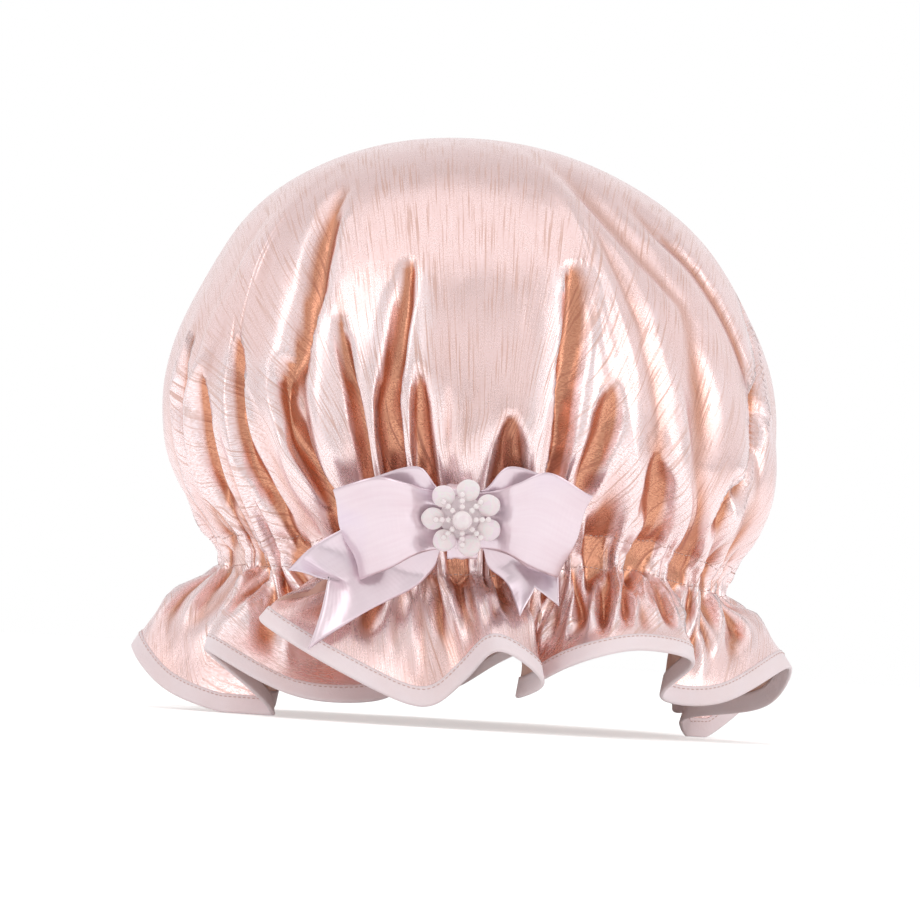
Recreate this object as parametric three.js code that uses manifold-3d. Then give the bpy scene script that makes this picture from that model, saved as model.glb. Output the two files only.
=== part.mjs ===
// A ruffled bathing cap: a gathered crown, an elastic neck, a bound ruffle, and a ribbon bow with a bead flower.
// Millimetres, +Z up, the front with its bow towards -Y. The cap stands on the lowest folds of its hem.
import * as THREE from 'three';
import { mergeVertices } from 'three/addons/utils/BufferGeometryUtils.js';
import Module from 'manifold-3d';

const wasm = await Module();
wasm.setup();

// Driving dimensions of the cap
const crownWidth = 263.6;
const crownTopHeight = 251;
const crownWideHeight = 123;
const waistHeight = 115;
const crownRoundness = 2.1;
const neckWidth = 220;
const neckHeight = 67;
const neckRise = 8;
const neckRiseAngle = 33;
const neckRiseSpread = 24;
const hemReach = 150;
const ruffleBelly = 3;
const bodyDepthShare = 0.95;
const leanShare = 0.06;
const leanHeight = 140;

// Cloth, elastic and thread
const clothThickness = 0.7;
const liningThickness = 0.5;
const layerGap = 0.3;
const gatherDepth = 5;
const casingWidth = 10;
const elasticWidth = 6;
const elasticThickness = 1;
const elasticClearance = 0.8;
const bindingWidth = 8;
const bindingThickness = 0.6;
const bindingRoom = 1.3;
const threadDiameter = 0.6;
const topstitchInset = 1.8;
const footCut = 0.5;
const cutOverrun = 40;

// Ribbon bow
const ribbonWidth = 38;
const ribbonThickness = 0.6;
const bowHeight = 84;
const bowOffset = -1.5;
const bowClearance = 5.435;
const bowTilt = 3.5;
const bowLean = 18;
const wrapWidth = 12;
const wrapHeight = 30;
const wrapThickness = 0.7;
const wrapRounding = 2;
const tackingLength = 6;
const tackingDiameter = 0.8;

// Bead flower
const backingDiameter = 18;
const backingThickness = 1;
const petalDiameter = 9.4;
const petalThickness = 1.6;
const petalCount = 7;
const petalCircle = 23.6;
const petalStart = 78;
const centrePearl = 8;
const seedPearl = 2.3;
const seedPitch = 2.5;
const beadsPerStrand = 3;
const strandCount = 8;
const strandStart = 90;
const strandThread = 0.7;

// The hem, one row for every second fold line. Each row holds where the line leaves the neck and where it meets
// the hem, both in degrees round the cap from the front, then shares of the hem's reach and of the neck's height.
const hemShares = [
  [-88, -78.5, 1.0, 0.4],
  [-76, -62, 0.83, 0.09],
  [-65, -49, 0.76, -0.12],
  [-58, -52, 0.91, 0.39],
  [-51, -34, 0.81, 0.16],
  [-43, -21, 0.7, 0.21],
  [-34, -32.5, 0.97, 0.6],
  [-25, -20, 0.93, 0.29],
  [-14, -8, 0.81, 0.13],
  [-6, -1, 0.79, 0.33],
  [2, 5, 0.9, 0.48],
  [9, 13, 0.88, 0.3],
  [15.5, 12.5, 0.71, 0.22],
  [21, 16, 0.76, 0.37],
  [28, 22.5, 0.92, 0.5],
  [37, 32, 0.93, 0.53],
  [47, 43, 0.88, 0.45],
  [56, 48, 0.73, 0.27],
  [65, 60, 0.83, 0.25],
  [78, 79.5, 0.91, 0.48],
  [88, 93.5, 0.85, 0.22],
  [96, 102, 0.7, 0.1],
  [103, 107, 0.72, -0.12],
  [111, 113, 0.92, 0.3],
  [121, 122, 0.72, 0.13],
  [131, 130, 0.93, 0.49],
  [145, 148, 0.97, 0.55],
  [160, 166, 0.95, 0.54],
  [176, 182, 0.72, 0.21],
  [188, 191, 0.88, 0.18],
  [201, 204, 0.72, 0.18],
  [215, 216, 0.96, 0.42],
  [229, 232, 0.72, -0.12],
  [244, 250, 0.97, 0.45],
  [259, 266, 0.75, 0.15],
];

// The crown's main folds. Each row holds the fold line that the valley follows, its direction in degrees at the
// waist and at its tip, then the tip's height and the valley's depth as shares of the crown's height over the neck.
const foldShares = [
  [2, -74, -60, 0.64, 0.065],
  [6, -57, -53, 0.37, 0.065],
  [10, -41, -49, 0.46, 0.075],
  [12, -32, -38, 0.84, 0.085],
  [14, -22, -27, 0.54, 0.07],
  [16, -15.5, -13, 0.67, 0.07],
  [18, -8.5, -9, 0.42, 0.05],
  [21, 5, 6.5, 0.34, 0.045],
  [24, 14, 22, 0.69, 0.08],
  [27, 25, 25.5, 0.42, 0.055],
  [30, 35, 30, 0.79, 0.045],
  [33, 46, 35, 0.88, 0.05],
  [36, 68, 50, 0.81, 0.05],
  [40, 86, 78, 0.66, 0.06],
  [44, 104, 98, 0.5, 0.055],
  [48, 123, 118, 0.74, 0.075],
  [51, 143, 138, 0.45, 0.055],
  [55, 163, 158, 0.7, 0.07],
  [58, 184, 180, 0.52, 0.06],
  [61, 206, 202, 0.78, 0.075],
  [64, 229, 226, 0.48, 0.06],
  [67, 255, 250, 0.7, 0.07],
];

const straddleShare = 0.25;
const tailClearShare = 0.62;
const tailFlareShare = 0.25;
const foldRiseShare = 0.75;
const crownRingShares = [0.955, 0.83, 0.64, 0.42, 0.18];
const poleStep = 5;
const crestStep = 2;
const ruffleMidShare = 0.45;
const bindingEvening = 2;
const settlingPasses = 4;
const offsetLimit = 4;
const offsetEasing = 0.02;
const turn = 360;
const columns = 2 * hemShares.length;

// The bow in the ribbon's own width: every station gives the top edge and the bottom edge, sideways and up, and how
// far the ribbon stands out towards the front.
const loopShares = [
  [-0.03, 0.29, -0.03, -0.29, 0.03],
  [-0.24, 0.33, -0.24, -0.3, 0.06],
  [-0.45, 0.56, -0.5, -0.36, 0.09],
  [-0.9, 0.47, -0.78, -0.52, 0.11],
  [-1.3, 0.33, -1.02, -0.61, 0.14],
  [-1.38, 0.31, -1.08, -0.63, 0.2],
  [-1.3, 0.34, -1.02, -0.61, 0.3],
  [-0.9, 0.45, -0.74, -0.5, 0.42],
  [-0.6, 0.39, -0.52, -0.38, 0.32],
  [-0.36, 0.32, -0.34, -0.32, 0.15],
  [0, 0.29, 0, -0.29, 0.13],
  [0.36, 0.31, 0.34, -0.31, 0.15],
  [0.58, 0.38, 0.52, -0.38, 0.31],
  [0.9, 0.49, 0.72, -0.49, 0.42],
  [1.32, 0.27, 0.94, -0.59, 0.3],
  [1.4, 0.24, 1.0, -0.61, 0.2],
  [1.32, 0.28, 0.95, -0.59, 0.14],
  [0.9, 0.46, 0.72, -0.52, 0.11],
  [0.48, 0.56, 0.5, -0.37, 0.09],
  [0.24, 0.33, 0.24, -0.3, 0.06],
  [0.03, 0.29, 0.03, -0.29, 0.03],
];

// The tails, one strip that passes behind the loops: upper edge, middle and lower edge, and how far it stands out.
const tailShares = [
  [-1.85, -0.54, -1.38, -0.59, -1.63, -1.37, 0.37],
  [-1.62, -0.3, -1.25, -0.65, -1.04, -0.98, 0.16],
  [-1.05, 0.02, -0.8, -0.38, -0.47, -0.68, 0.01],
  [-0.5, 0.2, -0.42, -0.14, -0.3, -0.5, -0.06],
  [-0.2, 0.28, -0.2, 0, -0.2, -0.28, -0.06],
  [0.2, 0.28, 0.2, 0, 0.2, -0.28, -0.06],
  [0.62, 0.0, 0.44, -0.24, 0.27, -0.48, -0.06],
  [0.98, -0.4, 0.72, -0.54, 0.47, -0.66, 0.02],
  [1.03, -0.91, 0.77, -0.69, 0.62, -1.03, 0.12],
];

const radians = (degrees) => degrees * Math.PI / 180;
const mix = (a, b, share) => a + (b - a) * share;
const clampShare = (value) => Math.min(1, Math.max(0, value));
const smooth = (value) => clampShare(value) ** 2 * (3 - 2 * clampShare(value));

// Smooth value between rows of a closed table; the two angle columns gain a full turn past the end.
function hemValue(column, place) {
  const rows = hemShares.length;
  const at = (row) => {
    const laps = Math.floor(row / rows);
    const value = hemShares[row - laps * rows][column];
    return column < 2 ? value + laps * turn : value;
  };
  const row = Math.floor(place);
  const share = place - row;
  const [a, b, c, d] = [at(row - 1), at(row), at(row + 1), at(row + 2)];
  const bend = (2 * a - 5 * b + 4 * c - d) * share ** 2 + (3 * b - a - 3 * c + d) * share ** 3;
  return b + ((c - a) * share + bend) / 2;
}

// Fold lines lie on either side of a row, so that the turns of the hem come out round.
const rowPlace = (column) => column / 2 + straddleShare;
const neckAngle = (column) => hemValue(0, rowPlace(column));

// The two valleys on either side of a fold line, and how far it lies from the first to the second.
function foldsBeside(column) {
  const count = foldShares.length;
  let right = foldShares.findIndex((fold) => fold[0] > column);
  let shift = 0;
  if (right < 0) {
    right = 0;
    shift = columns;
  }
  const left = (right + count - 1) % count;
  let start = foldShares[left][0];
  if (right === 0) start -= shift ? 0 : columns;
  const end = foldShares[right][0] + shift;
  return { left, right, share: (column - start) / (end - start), wraps: right === 0, shifted: shift > 0 };
}

const heightShare = (height) => (height - neckHeight) / (crownTopHeight - neckHeight);

// A valley's direction at a height: from its tip down to the waist.
function foldAngle(index, height) {
  const [, waist, tip, tipShare] = foldShares[index];
  const waistShare = heightShare(waistHeight);
  return mix(waist, tip, smooth((heightShare(height) - waistShare) / (tipShare - waistShare)));
}

function columnAngle(column, height) {
  const beside = foldsBeside(column);
  let from = foldAngle(beside.left, height);
  let to = foldAngle(beside.right, height);
  if (beside.wraps && !beside.shifted) from -= turn;
  if (beside.wraps && beside.shifted) to += turn;
  const crown = mix(from, to, beside.share);
  return mix(neckAngle(column), crown, smooth((height - neckHeight) / (waistHeight - neckHeight)));
}

// Half the cap's width at a height, over the ridges of its folds.
function meridian(height) {
  const neck = neckWidth / 2;
  const widest = crownWidth / 2;
  if (height >= crownWideHeight) {
    const share = clampShare((height - crownWideHeight) / (crownTopHeight - crownWideHeight));
    return widest * (1 - share ** crownRoundness) ** (1 / crownRoundness);
  }
  const share = clampShare((crownWideHeight - height) / (crownWideHeight - neckHeight));
  return mix(neck, widest, 1 - share ** 2);
}

function foldDepth(column, height) {
  const beside = foldsBeside(column);
  const depth = (index) => {
    const [, , , tipShare, depthShare] = foldShares[index];
    const started = smooth((tipShare - heightShare(height)) / (tipShare * foldRiseShare));
    return depthShare * (crownTopHeight - neckHeight) * started;
  };
  const valley = 1 - Math.sin(Math.PI * clampShare(beside.share)) ** foldRiseShare;
  const crown = mix(depth(beside.left), depth(beside.right), beside.share) * valley;
  return mix(gatherDepth * valley, crown, smooth((height - neckHeight) / (waistHeight - neckHeight)));
}

const centreOffset = (height) => leanShare * (leanHeight - height);

function riseAt(angle, height) {
  const away = (((angle - neckRiseAngle + turn / 2) % turn) + turn) % turn - turn / 2;
  const fade = 1 - smooth((height - neckHeight) / (waistHeight - neckHeight));
  return neckRise * Math.exp(-((away / neckRiseSpread) ** 2)) * fade;
}

function bodyPoint(angle, radius, height) {
  const x = centreOffset(height) + radius * Math.sin(radians(angle));
  const y = -bodyDepthShare * radius * Math.cos(radians(angle));
  return new THREE.Vector3(x, y, height + riseAt(angle, height));
}

function crownPoint(column, height) {
  const angle = columnAngle(column, height);
  return bodyPoint(angle, meridian(height) - foldDepth(column, height), height);
}

const edgeRise = bindingRoom + bindingThickness;
const clothStack = clothThickness + layerGap + liningThickness;
const every = (step) => Array.from({ length: columns / step }, (unused, index) => index * step);

// How far the binding reaches below the cloth's edge at each fold line.
let hemDrops = every(1).map(() => edgeRise);

// The edge of the cloth inside the binding, whose lowest folds are cut level where the cap stands.
function hemPoint(column) {
  const place = rowPlace(column);
  const angle = radians(hemValue(1, place));
  const reach = hemValue(2, place) * hemReach;
  const drop = hemDrops[(column + columns) % columns];
  const height = Math.max(0, hemValue(3, place)) * neckHeight - footCut + drop;
  const x = centreOffset(neckHeight) + reach * Math.sin(angle);
  return new THREE.Vector3(x, -reach * Math.cos(angle), height);
}

function rufflePoint(column, share) {
  const neck = crownPoint(column, neckHeight - casingWidth / 2);
  const point = neck.clone().lerp(hemPoint(column), share);
  const outward = new THREE.Vector3(neck.x - centreOffset(neckHeight), neck.y, 0).normalize();
  return point.addScaledVector(outward, 4 * share * (1 - share) * ruffleBelly);
}

// The binding runs up the ruffle, in a direction evened out between neighbouring fold lines.
function bindingTopPoint(column) {
  const upward = new THREE.Vector3();
  for (let beside = -bindingEvening; beside <= bindingEvening; beside += 1) {
    const near = rufflePoint(column + beside, ruffleMidShare).sub(hemPoint(column + beside));
    upward.addScaledVector(near.normalize(), 1 + bindingEvening - Math.abs(beside));
  }
  return hemPoint(column).addScaledVector(upward.normalize(), bindingWidth - edgeRise);
}

// The cloth as rings of points from the crown's pole to the hem; thin rings near the pole skip fold lines.
function clothRings() {
  const crownRings = crownRingShares.map((share, index) => {
    const height = mix(neckHeight, crownTopHeight, share);
    const step = [poleStep, crestStep][index] ?? 1;
    return every(step).map((column) => crownPoint(column, height));
  });
  const casing = [casingWidth / 2, -casingWidth / 2].map((lift) => (
    every(1).map((column) => crownPoint(column, neckHeight + lift))));
  const ruffle = every(1).map((column) => rufflePoint(column, ruffleMidShare));
  const pole = [new THREE.Vector3(centreOffset(crownTopHeight), 0, crownTopHeight)];
  return [pole, ...crownRings, ...casing, ruffle, every(1).map(bindingTopPoint), every(1).map(hemPoint)];
}

const casingTopRing = 1 + crownRingShares.length;

// Faces between two closed rings of points, which may hold different numbers of them.
function stitchRings(faces, upper, lower, reversed) {
  const add = (a, b, c) => faces.push(...(reversed ? [a, c, b] : [a, b, c]));
  const upperAt = (index) => upper.start + index % upper.count;
  const lowerAt = (index) => lower.start + index % lower.count;
  if (upper.count === 1) {
    for (let j = 0; j < lower.count; j += 1) add(upper.start, lowerAt(j), lowerAt(j + 1));
    return;
  }
  let i = 0;
  let j = 0;
  while (i < upper.count || j < lower.count) {
    if (j < lower.count && (i >= upper.count || (j + 1) * upper.count <= (i + 1) * lower.count)) {
      add(upperAt(i), lowerAt(j), lowerAt(j + 1));
      j += 1;
    } else {
      add(upperAt(i), lowerAt(j), upperAt(i + 1));
      i += 1;
    }
  }
}

function solidFrom(points, faces) {
  const geometry = new THREE.BufferGeometry();
  geometry.setAttribute('position', new THREE.Float32BufferAttribute(points.flatMap((p) => p.toArray()), 3));
  geometry.setIndex(faces);
  return faceOut(geometry);
}

// Turns a closed shape's faces outward by the sign of the volume that they enclose.
function faceOut(geometry) {
  const position = geometry.getAttribute('position');
  const index = geometry.getIndex().array;
  const corner = (n) => new THREE.Vector3().fromBufferAttribute(position, index[n]);
  let volume = 0;
  for (let n = 0; n < index.length; n += 3) volume += corner(n).dot(corner(n + 1).cross(corner(n + 2)));
  if (volume < 0) geometry.setIndex(Array.from(index).reverse());
  return geometry;
}

// The layout of the rings in one list of points.
function ringLayout(rings) {
  let start = 0;
  return rings.map((ring) => {
    const entry = { start, count: ring.length };
    start += ring.length;
    return entry;
  });
}

// The shift of a point that moves every face round it outward by one: the faces' planes meet again there, so a
// layer keeps its thickness at sharp folds too.
function offsetDirection(faceNormals) {
  const matrix = new THREE.Matrix3().set(offsetEasing, 0, 0, 0, offsetEasing, 0, 0, 0, offsetEasing);
  const sum = new THREE.Vector3();
  for (const face of faceNormals) {
    const [x, y, z] = face.toArray();
    [x * x, x * y, x * z, y * x, y * y, y * z, z * x, z * y, z * z].forEach((product, cell) => {
      matrix.elements[cell] += product;
    });
    sum.add(face);
  }
  return sum.applyMatrix3(matrix.invert()).clampLength(0, offsetLimit);
}

// Along the hem the directions come from the bound strip alone, and are the same at its two sides.
function clothNormals(rings) {
  const layout = ringLayout(rings);
  const faces = [];
  for (let n = 0; n + 1 < rings.length; n += 1) stitchRings(faces, layout[n], layout[n + 1], false);
  const points = rings.flat();
  const around = points.map(() => []);
  const [top, hem] = layout.slice(-2);
  for (let n = 0; n < faces.length; n += 3) {
    const corners = faces.slice(n, n + 3);
    const [a, b, c] = corners.map((corner) => points[corner]);
    const normal = b.clone().sub(a).cross(c.clone().sub(a)).normalize();
    const bound = corners.every((corner) => corner >= top.start);
    for (const corner of corners) {
      if (!bound && corner >= top.start) continue;
      around[corner].push(normal);
      if (bound) around[corner < hem.start ? corner + hem.count : corner - hem.count].push(normal);
    }
  }
  return around.map(offsetDirection);
}

// The cloth's slope and the depth of its binding depend on each other, so both are settled in a few passes.
let rings = clothRings();
let normals = clothNormals(rings);
const layout = ringLayout(rings);
const hemRing = rings.length - 1;
const topRing = hemRing - 1;
for (let pass = 0; pass < settlingPasses; pass += 1) {
  hemDrops = every(1).map((column) => {
    const heights = bindingSection(column).map((corner) => corner.z);
    return rings[hemRing][column].z - Math.min(...heights);
  });
  rings = clothRings();
  normals = clothNormals(rings);
}

const offsetRings = (distance) => rings.map((ring, n) => (
  ring.map((point, index) => point.clone().addScaledVector(normals[layout[n].start + index], distance))));

// A closed layer of cloth between two sets of rings that are open at the hem.
function clothLayer(outer, inner) {
  const faces = [];
  const total = outer.flat().length;
  for (let n = 0; n + 1 < layout.length; n += 1) {
    stitchRings(faces, layout[n], layout[n + 1], false);
    const innerUpper = { start: layout[n].start + total, count: layout[n].count };
    const innerLower = { start: layout[n + 1].start + total, count: layout[n + 1].count };
    stitchRings(faces, innerUpper, innerLower, true);
  }
  const hem = layout[layout.length - 1];
  for (let index = 0; index < hem.count; index += 1) {
    const here = hem.start + index;
    const next = hem.start + (index + 1) % hem.count;
    faces.push(next, here, here + total, next, here + total, next + total);
  }
  return solidFrom([...outer.flat(), ...inner.flat()], faces);
}

// A closed loop of equal sections, such as a band, a binding or a thread round the cap. On the sides listed as
// crossed, the faces are split along their other diagonal.
function loopLoft(sections, crossed = []) {
  const sides = sections[0].length;
  const faces = [];
  for (let n = 0; n < sections.length; n += 1) {
    const next = (n + 1) % sections.length;
    for (let k = 0; k < sides; k += 1) {
      const side = (k + 1) % sides;
      const [a, b] = [n * sides + k, next * sides + k];
      const [c, d] = [next * sides + side, n * sides + side];
      faces.push(...(crossed.includes(k) ? [a, b, d, b, c, d] : [a, b, c, a, c, d]));
    }
  }
  return solidFrom(sections.flat(), faces);
}

const elasticOuter = neckWidth / 2 - gatherDepth - clothThickness - elasticClearance;
const elasticInner = elasticOuter - elasticThickness;
const liningNeck = elasticInner - elasticClearance;

// The lining lies on the cloth everywhere but at the casing, where the elastic runs between the two.
function liningRings(distance) {
  return offsetRings(-clothThickness - layerGap - distance).map((ring, n) => {
    if (n !== casingTopRing && n !== casingTopRing + 1) return ring;
    const height = neckHeight + (n === casingTopRing ? casingWidth : -casingWidth) / 2;
    return ring.map((point, column) => {
      const pleat = gatherDepth - foldDepth(column, height);
      return bodyPoint(columnAngle(column, height), liningNeck - pleat - distance, height);
    });
  });
}

function elasticBand() {
  return loopLoft(every(1).map((column) => {
    const angle = neckAngle(column);
    const corner = (radius, lift) => {
      const point = bodyPoint(angle, radius, neckHeight);
      return point.setZ(point.z + lift);
    };
    const half = elasticWidth / 2;
    return [corner(elasticOuter, half), corner(elasticOuter, -half),
      corner(elasticInner, -half), corner(elasticInner, half)];
  }));
}

// A thread of square section that lies on the cloth, centred at a distance along its normals.
function threadLoop(points, directions, distance) {
  const radius = threadDiameter / 2;
  return loopLoft(points.map((point, index) => {
    const outward = directions[index];
    const across = new THREE.Vector3(0, 0, 1);
    const centre = point.clone().addScaledVector(outward, distance);
    return [[1, 0], [0, 1], [-1, 0], [0, -1]].map(([out, up]) => (
      centre.clone().addScaledVector(outward, out * radius).addScaledVector(across, up * radius)));
  }));
}

function casingStitch(ring) {
  const start = layout[ring].start;
  return threadLoop(rings[ring], normals.slice(start, start + columns), layerGap + threadDiameter);
}

// The sides of the binding's section that run up from the edge.
const bindingUpSides = [2, 6];

function bindingSection(column) {
  const [edge, top] = [rings[hemRing][column], rings[topRing][column]];
  const edgeNormal = normals[layout[hemRing].start + column];
  const topNormal = normals[layout[topRing].start + column];
  const down = edge.clone().sub(top).normalize();
  const at = (point, normal, out, below) => (
    point.clone().addScaledVector(normal, out).addScaledVector(down, below));
  const outside = layerGap + bindingThickness;
  const inside = -clothStack - layerGap;
  return [
    at(top, topNormal, outside, 0),
    at(edge, edgeNormal, outside, edgeRise),
    at(edge, edgeNormal, inside - bindingThickness, edgeRise),
    at(top, topNormal, inside - bindingThickness, 0),
    at(top, topNormal, inside, 0),
    at(edge, edgeNormal, inside, bindingRoom),
    at(edge, edgeNormal, layerGap, bindingRoom),
    at(top, topNormal, layerGap, 0),
  ];
}

function asManifold(geometry) {
  const clean = geometry.clone();
  clean.deleteAttribute('normal');
  clean.deleteAttribute('uv');
  const merged = mergeVertices(clean);
  return new wasm.Manifold(new wasm.Mesh({
    numProp: 3,
    vertProperties: new Float32Array(merged.getAttribute('position').array),
    triVerts: new Uint32Array(merged.getIndex().array),
  }));
}

function fromManifold(solid) {
  const mesh = solid.getMesh();
  const geometry = new THREE.BufferGeometry();
  geometry.setAttribute('position', new THREE.Float32BufferAttribute(mesh.vertProperties, 3));
  geometry.setIndex(Array.from(mesh.triVerts));
  return geometry;
}

// The binding, cut level where its lowest folds carry the cap.
function hemBinding() {
  const reach = 2 * hemReach + cutOverrun;
  const floor = new THREE.BoxGeometry(reach, reach, cutOverrun).translate(0, 0, -cutOverrun / 2);
  const loop = asManifold(loopLoft(every(1).map(bindingSection), bindingUpSides));
  return fromManifold(loop.subtract(asManifold(floor)));
}

function hemTopstitch() {
  const share = topstitchInset / bindingWidth;
  const points = every(1).map((column) => rings[topRing][column].clone().lerp(rings[hemRing][column], share));
  const directions = every(1).map((column) => (
    normals[layout[topRing].start + column].clone().lerp(normals[layout[hemRing].start + column], share)));
  return threadLoop(points, directions, 2 * layerGap + bindingThickness + threadDiameter);
}

// A strip of ribbon from stations of points across it, given its thickness along its own normals.
function ribbonStrip(stations) {
  const lanes = stations[0].length;
  const last = stations.length - 1;
  const sides = stations.map((station, n) => station.map((point, lane) => {
    const along = stations[Math.min(last, n + 1)][lane].clone().sub(stations[Math.max(0, n - 1)][lane]);
    const across = station[Math.max(0, lane - 1)].clone().sub(station[Math.min(lanes - 1, lane + 1)]);
    const normal = along.cross(across).normalize().multiplyScalar(ribbonThickness / 2);
    return [point.clone().add(normal), point.clone().sub(normal)];
  }));
  const sections = sides.map((station) => [
    ...station.map((pair) => pair[0]),
    ...station.map((pair) => pair[1]).reverse(),
  ]);
  const round = 2 * lanes;
  const faces = [];
  for (let n = 0; n < last; n += 1) {
    for (let k = 0; k < round; k += 1) {
      const [a, b] = [n * round + k, (n + 1) * round + k];
      const [c, d] = [(n + 1) * round + (k + 1) % round, n * round + (k + 1) % round];
      faces.push(...(k < lanes ? [a, b, c, a, c, d] : [a, b, d, b, c, d]));
    }
  }
  for (let lane = 0; lane + 1 < lanes; lane += 1) {
    const [a, b, c, d] = [lane, lane + 1, round - 2 - lane, round - 1 - lane];
    const end = last * round;
    faces.push(a, b, c, a, c, d, end + a, end + c, end + b, end + a, end + d, end + c);
  }
  return solidFrom(sections.flat(), faces);
}

// Stations of the bow, with smooth points between the given ones. They stand out more the higher they are, as the
// crown behind them does. A row may end in what each edge falls forward.
function bowStations(table, between) {
  const edges = Math.floor((table[0].length - 1) / 2);
  const curves = Array.from({ length: edges }, (unused, edge) => new THREE.CatmullRomCurve3(
    table.map((row) => {
      const [across, upward] = [row[2 * edge], row[2 * edge + 1]];
      const ownForward = row[2 * edges + 1]?.[edge] ?? 0;
      const forward = row[2 * edges] + ownForward + upward * Math.tan(radians(bowLean));
      return new THREE.Vector3(across, -forward, upward).multiplyScalar(ribbonWidth);
    }), false, 'centripetal'));
  const steps = (table.length - 1) * between;
  return Array.from({ length: steps + 1 }, (unused, step) => {
    return curves.map((curve) => curve.getPoint(step / steps));
  });
}

// The bow leans with the crown behind it, while its tails stand out over the ruffle below the loops.
function hangingTails() {
  const slope = Math.tan(radians(bowLean)) + tailFlareShare;
  return tailShares.map((row) => {
    const falls = [1, 3, 5].map((cell) => Math.max(0, -row[cell] - tailClearShare) * slope);
    return [...row, falls];
  });
}

const loopSteps = 2;
const tailSteps = 2;
const roundSides = 24;
const petalSides = 12;
const beadSides = 8;
const beadRings = 6;
const pearlSides = 14;
const pearlRings = 12;
const cornerSteps = 3;
const domeSteps = 4;
const petalRimShare = 1 / 3;
const petalSeatShare = 11 / 12;

// The bow stands in front of the crown's ridges at its own height.
const bowStandoff = bodyDepthShare * meridian(bowHeight) + bowClearance;
const leanShrink = Math.cos(radians(bowLean));
const loopMiddle = loopShares[(loopShares.length - 1) / 2][4] * ribbonWidth * leanShrink;
const tailMiddle = tailShares[(tailShares.length - 1) / 2][6] * ribbonWidth * leanShrink;
const wrapRoom = ribbonThickness / 2 + layerGap + wrapThickness;
const wrapFront = loopMiddle + wrapRoom;
const wrapBack = tailMiddle - wrapRoom;

// The centre wrap: a flat sleeve round the pinched loops, its section drawn as depth against height.
function centreWrap() {
  const outline = (shape, inset) => {
    const round = wrapRounding - inset;
    const left = wrapBack + wrapRounding;
    const right = wrapFront - wrapRounding;
    const top = wrapHeight / 2 - wrapRounding;
    shape.absarc(right, -top, round, -Math.PI / 2, 0, false);
    shape.absarc(right, top, round, 0, Math.PI / 2, false);
    shape.absarc(left, top, round, Math.PI / 2, Math.PI, false);
    shape.absarc(left, -top, round, Math.PI, 1.5 * Math.PI, false);
    return shape;
  };
  const sleeve = outline(new THREE.Shape(), 0);
  sleeve.holes.push(outline(new THREE.Path(), wrapThickness));
  const settings = { depth: wrapWidth, bevelEnabled: false, curveSegments: cornerSteps };
  const geometry = new THREE.ExtrudeGeometry(sleeve, settings);
  const [across, upward] = [new THREE.Vector3(1, 0, 0), new THREE.Vector3(0, 0, 1)];
  const turned = new THREE.Matrix4().makeBasis(new THREE.Vector3(0, -1, 0), upward, across.negate());
  return geometry.translate(0, 0, -wrapWidth / 2).applyMatrix4(turned);
}

// One shell petal: a round disc, domed on its front.
function petalDisc() {
  const radius = petalDiameter / 2;
  const dome = Array.from({ length: domeSteps }, (unused, step) => {
    const share = step / domeSteps;
    const across = radius * Math.cos(share * Math.PI / 2);
    return new THREE.Vector2(across, petalThickness * mix(petalRimShare, 1, share));
  });
  const [seat, crest] = [new THREE.Vector2(radius * petalSeatShare, 0), new THREE.Vector2(0, petalThickness)];
  return new THREE.LatheGeometry([new THREE.Vector2(0, 0), seat, ...dome, crest], petalSides);
}

// One radial strand: seed pearls fused on their thread.
function pearlStrand() {
  const radius = seedPearl / 2;
  const first = centrePearl / 2 + radius + layerGap;
  const length = seedPitch * beadsPerStrand;
  let strand = asManifold(new THREE.CylinderGeometry(strandThread / 2, strandThread / 2, length, beadSides)
    .translate(0, first + length / 2 - radius, 0));
  for (let bead = 0; bead < beadsPerStrand; bead += 1) {
    const pearl = new THREE.SphereGeometry(radius, beadSides, beadRings);
    strand = strand.add(asManifold(pearl.translate(0, first + bead * seedPitch, 0)));
  }
  return fromManifold(strand);
}

function finish(color, roughness, metalness) {
  return new THREE.MeshStandardMaterial({ color, roughness, metalness });
}

const lame = finish(0xe0b8a6, 0.38, 0.75);
const liningFilm = finish(0xe9cfc6, 0.6, 0);
const elasticRubber = finish(0xf2eeee, 0.7, 0);
const bindingCloth = finish(0xf0dede, 0.65, 0);
const thread = finish(0xe6cfcb, 0.7, 0);
const satin = finish(0xecdee6, 0.35, 0.1);
const shellPetal = finish(0xece2e0, 0.25, 0);
const pearlCoat = finish(0xf4e8ec, 0.2, 0);
const felt = finish(0xeadfe0, 0.9, 0);

function named(name, geometry, material) {
  const mesh = new THREE.Mesh(geometry, material);
  mesh.name = name;
  return mesh;
}

function cap() {
  const body = new THREE.Group();
  body.add(
    named('outer_shell', clothLayer(rings, offsetRings(-clothThickness)), lame),
    named('lining', clothLayer(liningRings(0), liningRings(liningThickness)), liningFilm),
    named('elastic_band', elasticBand(), elasticRubber),
    named('casing_stitch_upper', casingStitch(casingTopRing), thread),
    named('casing_stitch_lower', casingStitch(casingTopRing + 1), thread),
    named('hem_binding', hemBinding(), bindingCloth),
    named('hem_topstitch', hemTopstitch(), thread),
  );
  return body;
}

const flowerBase = wrapFront + layerGap;
const petalBase = flowerBase + backingThickness + layerGap;
const strandLevel = petalBase + petalThickness + layerGap + seedPearl / 2;

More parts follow.
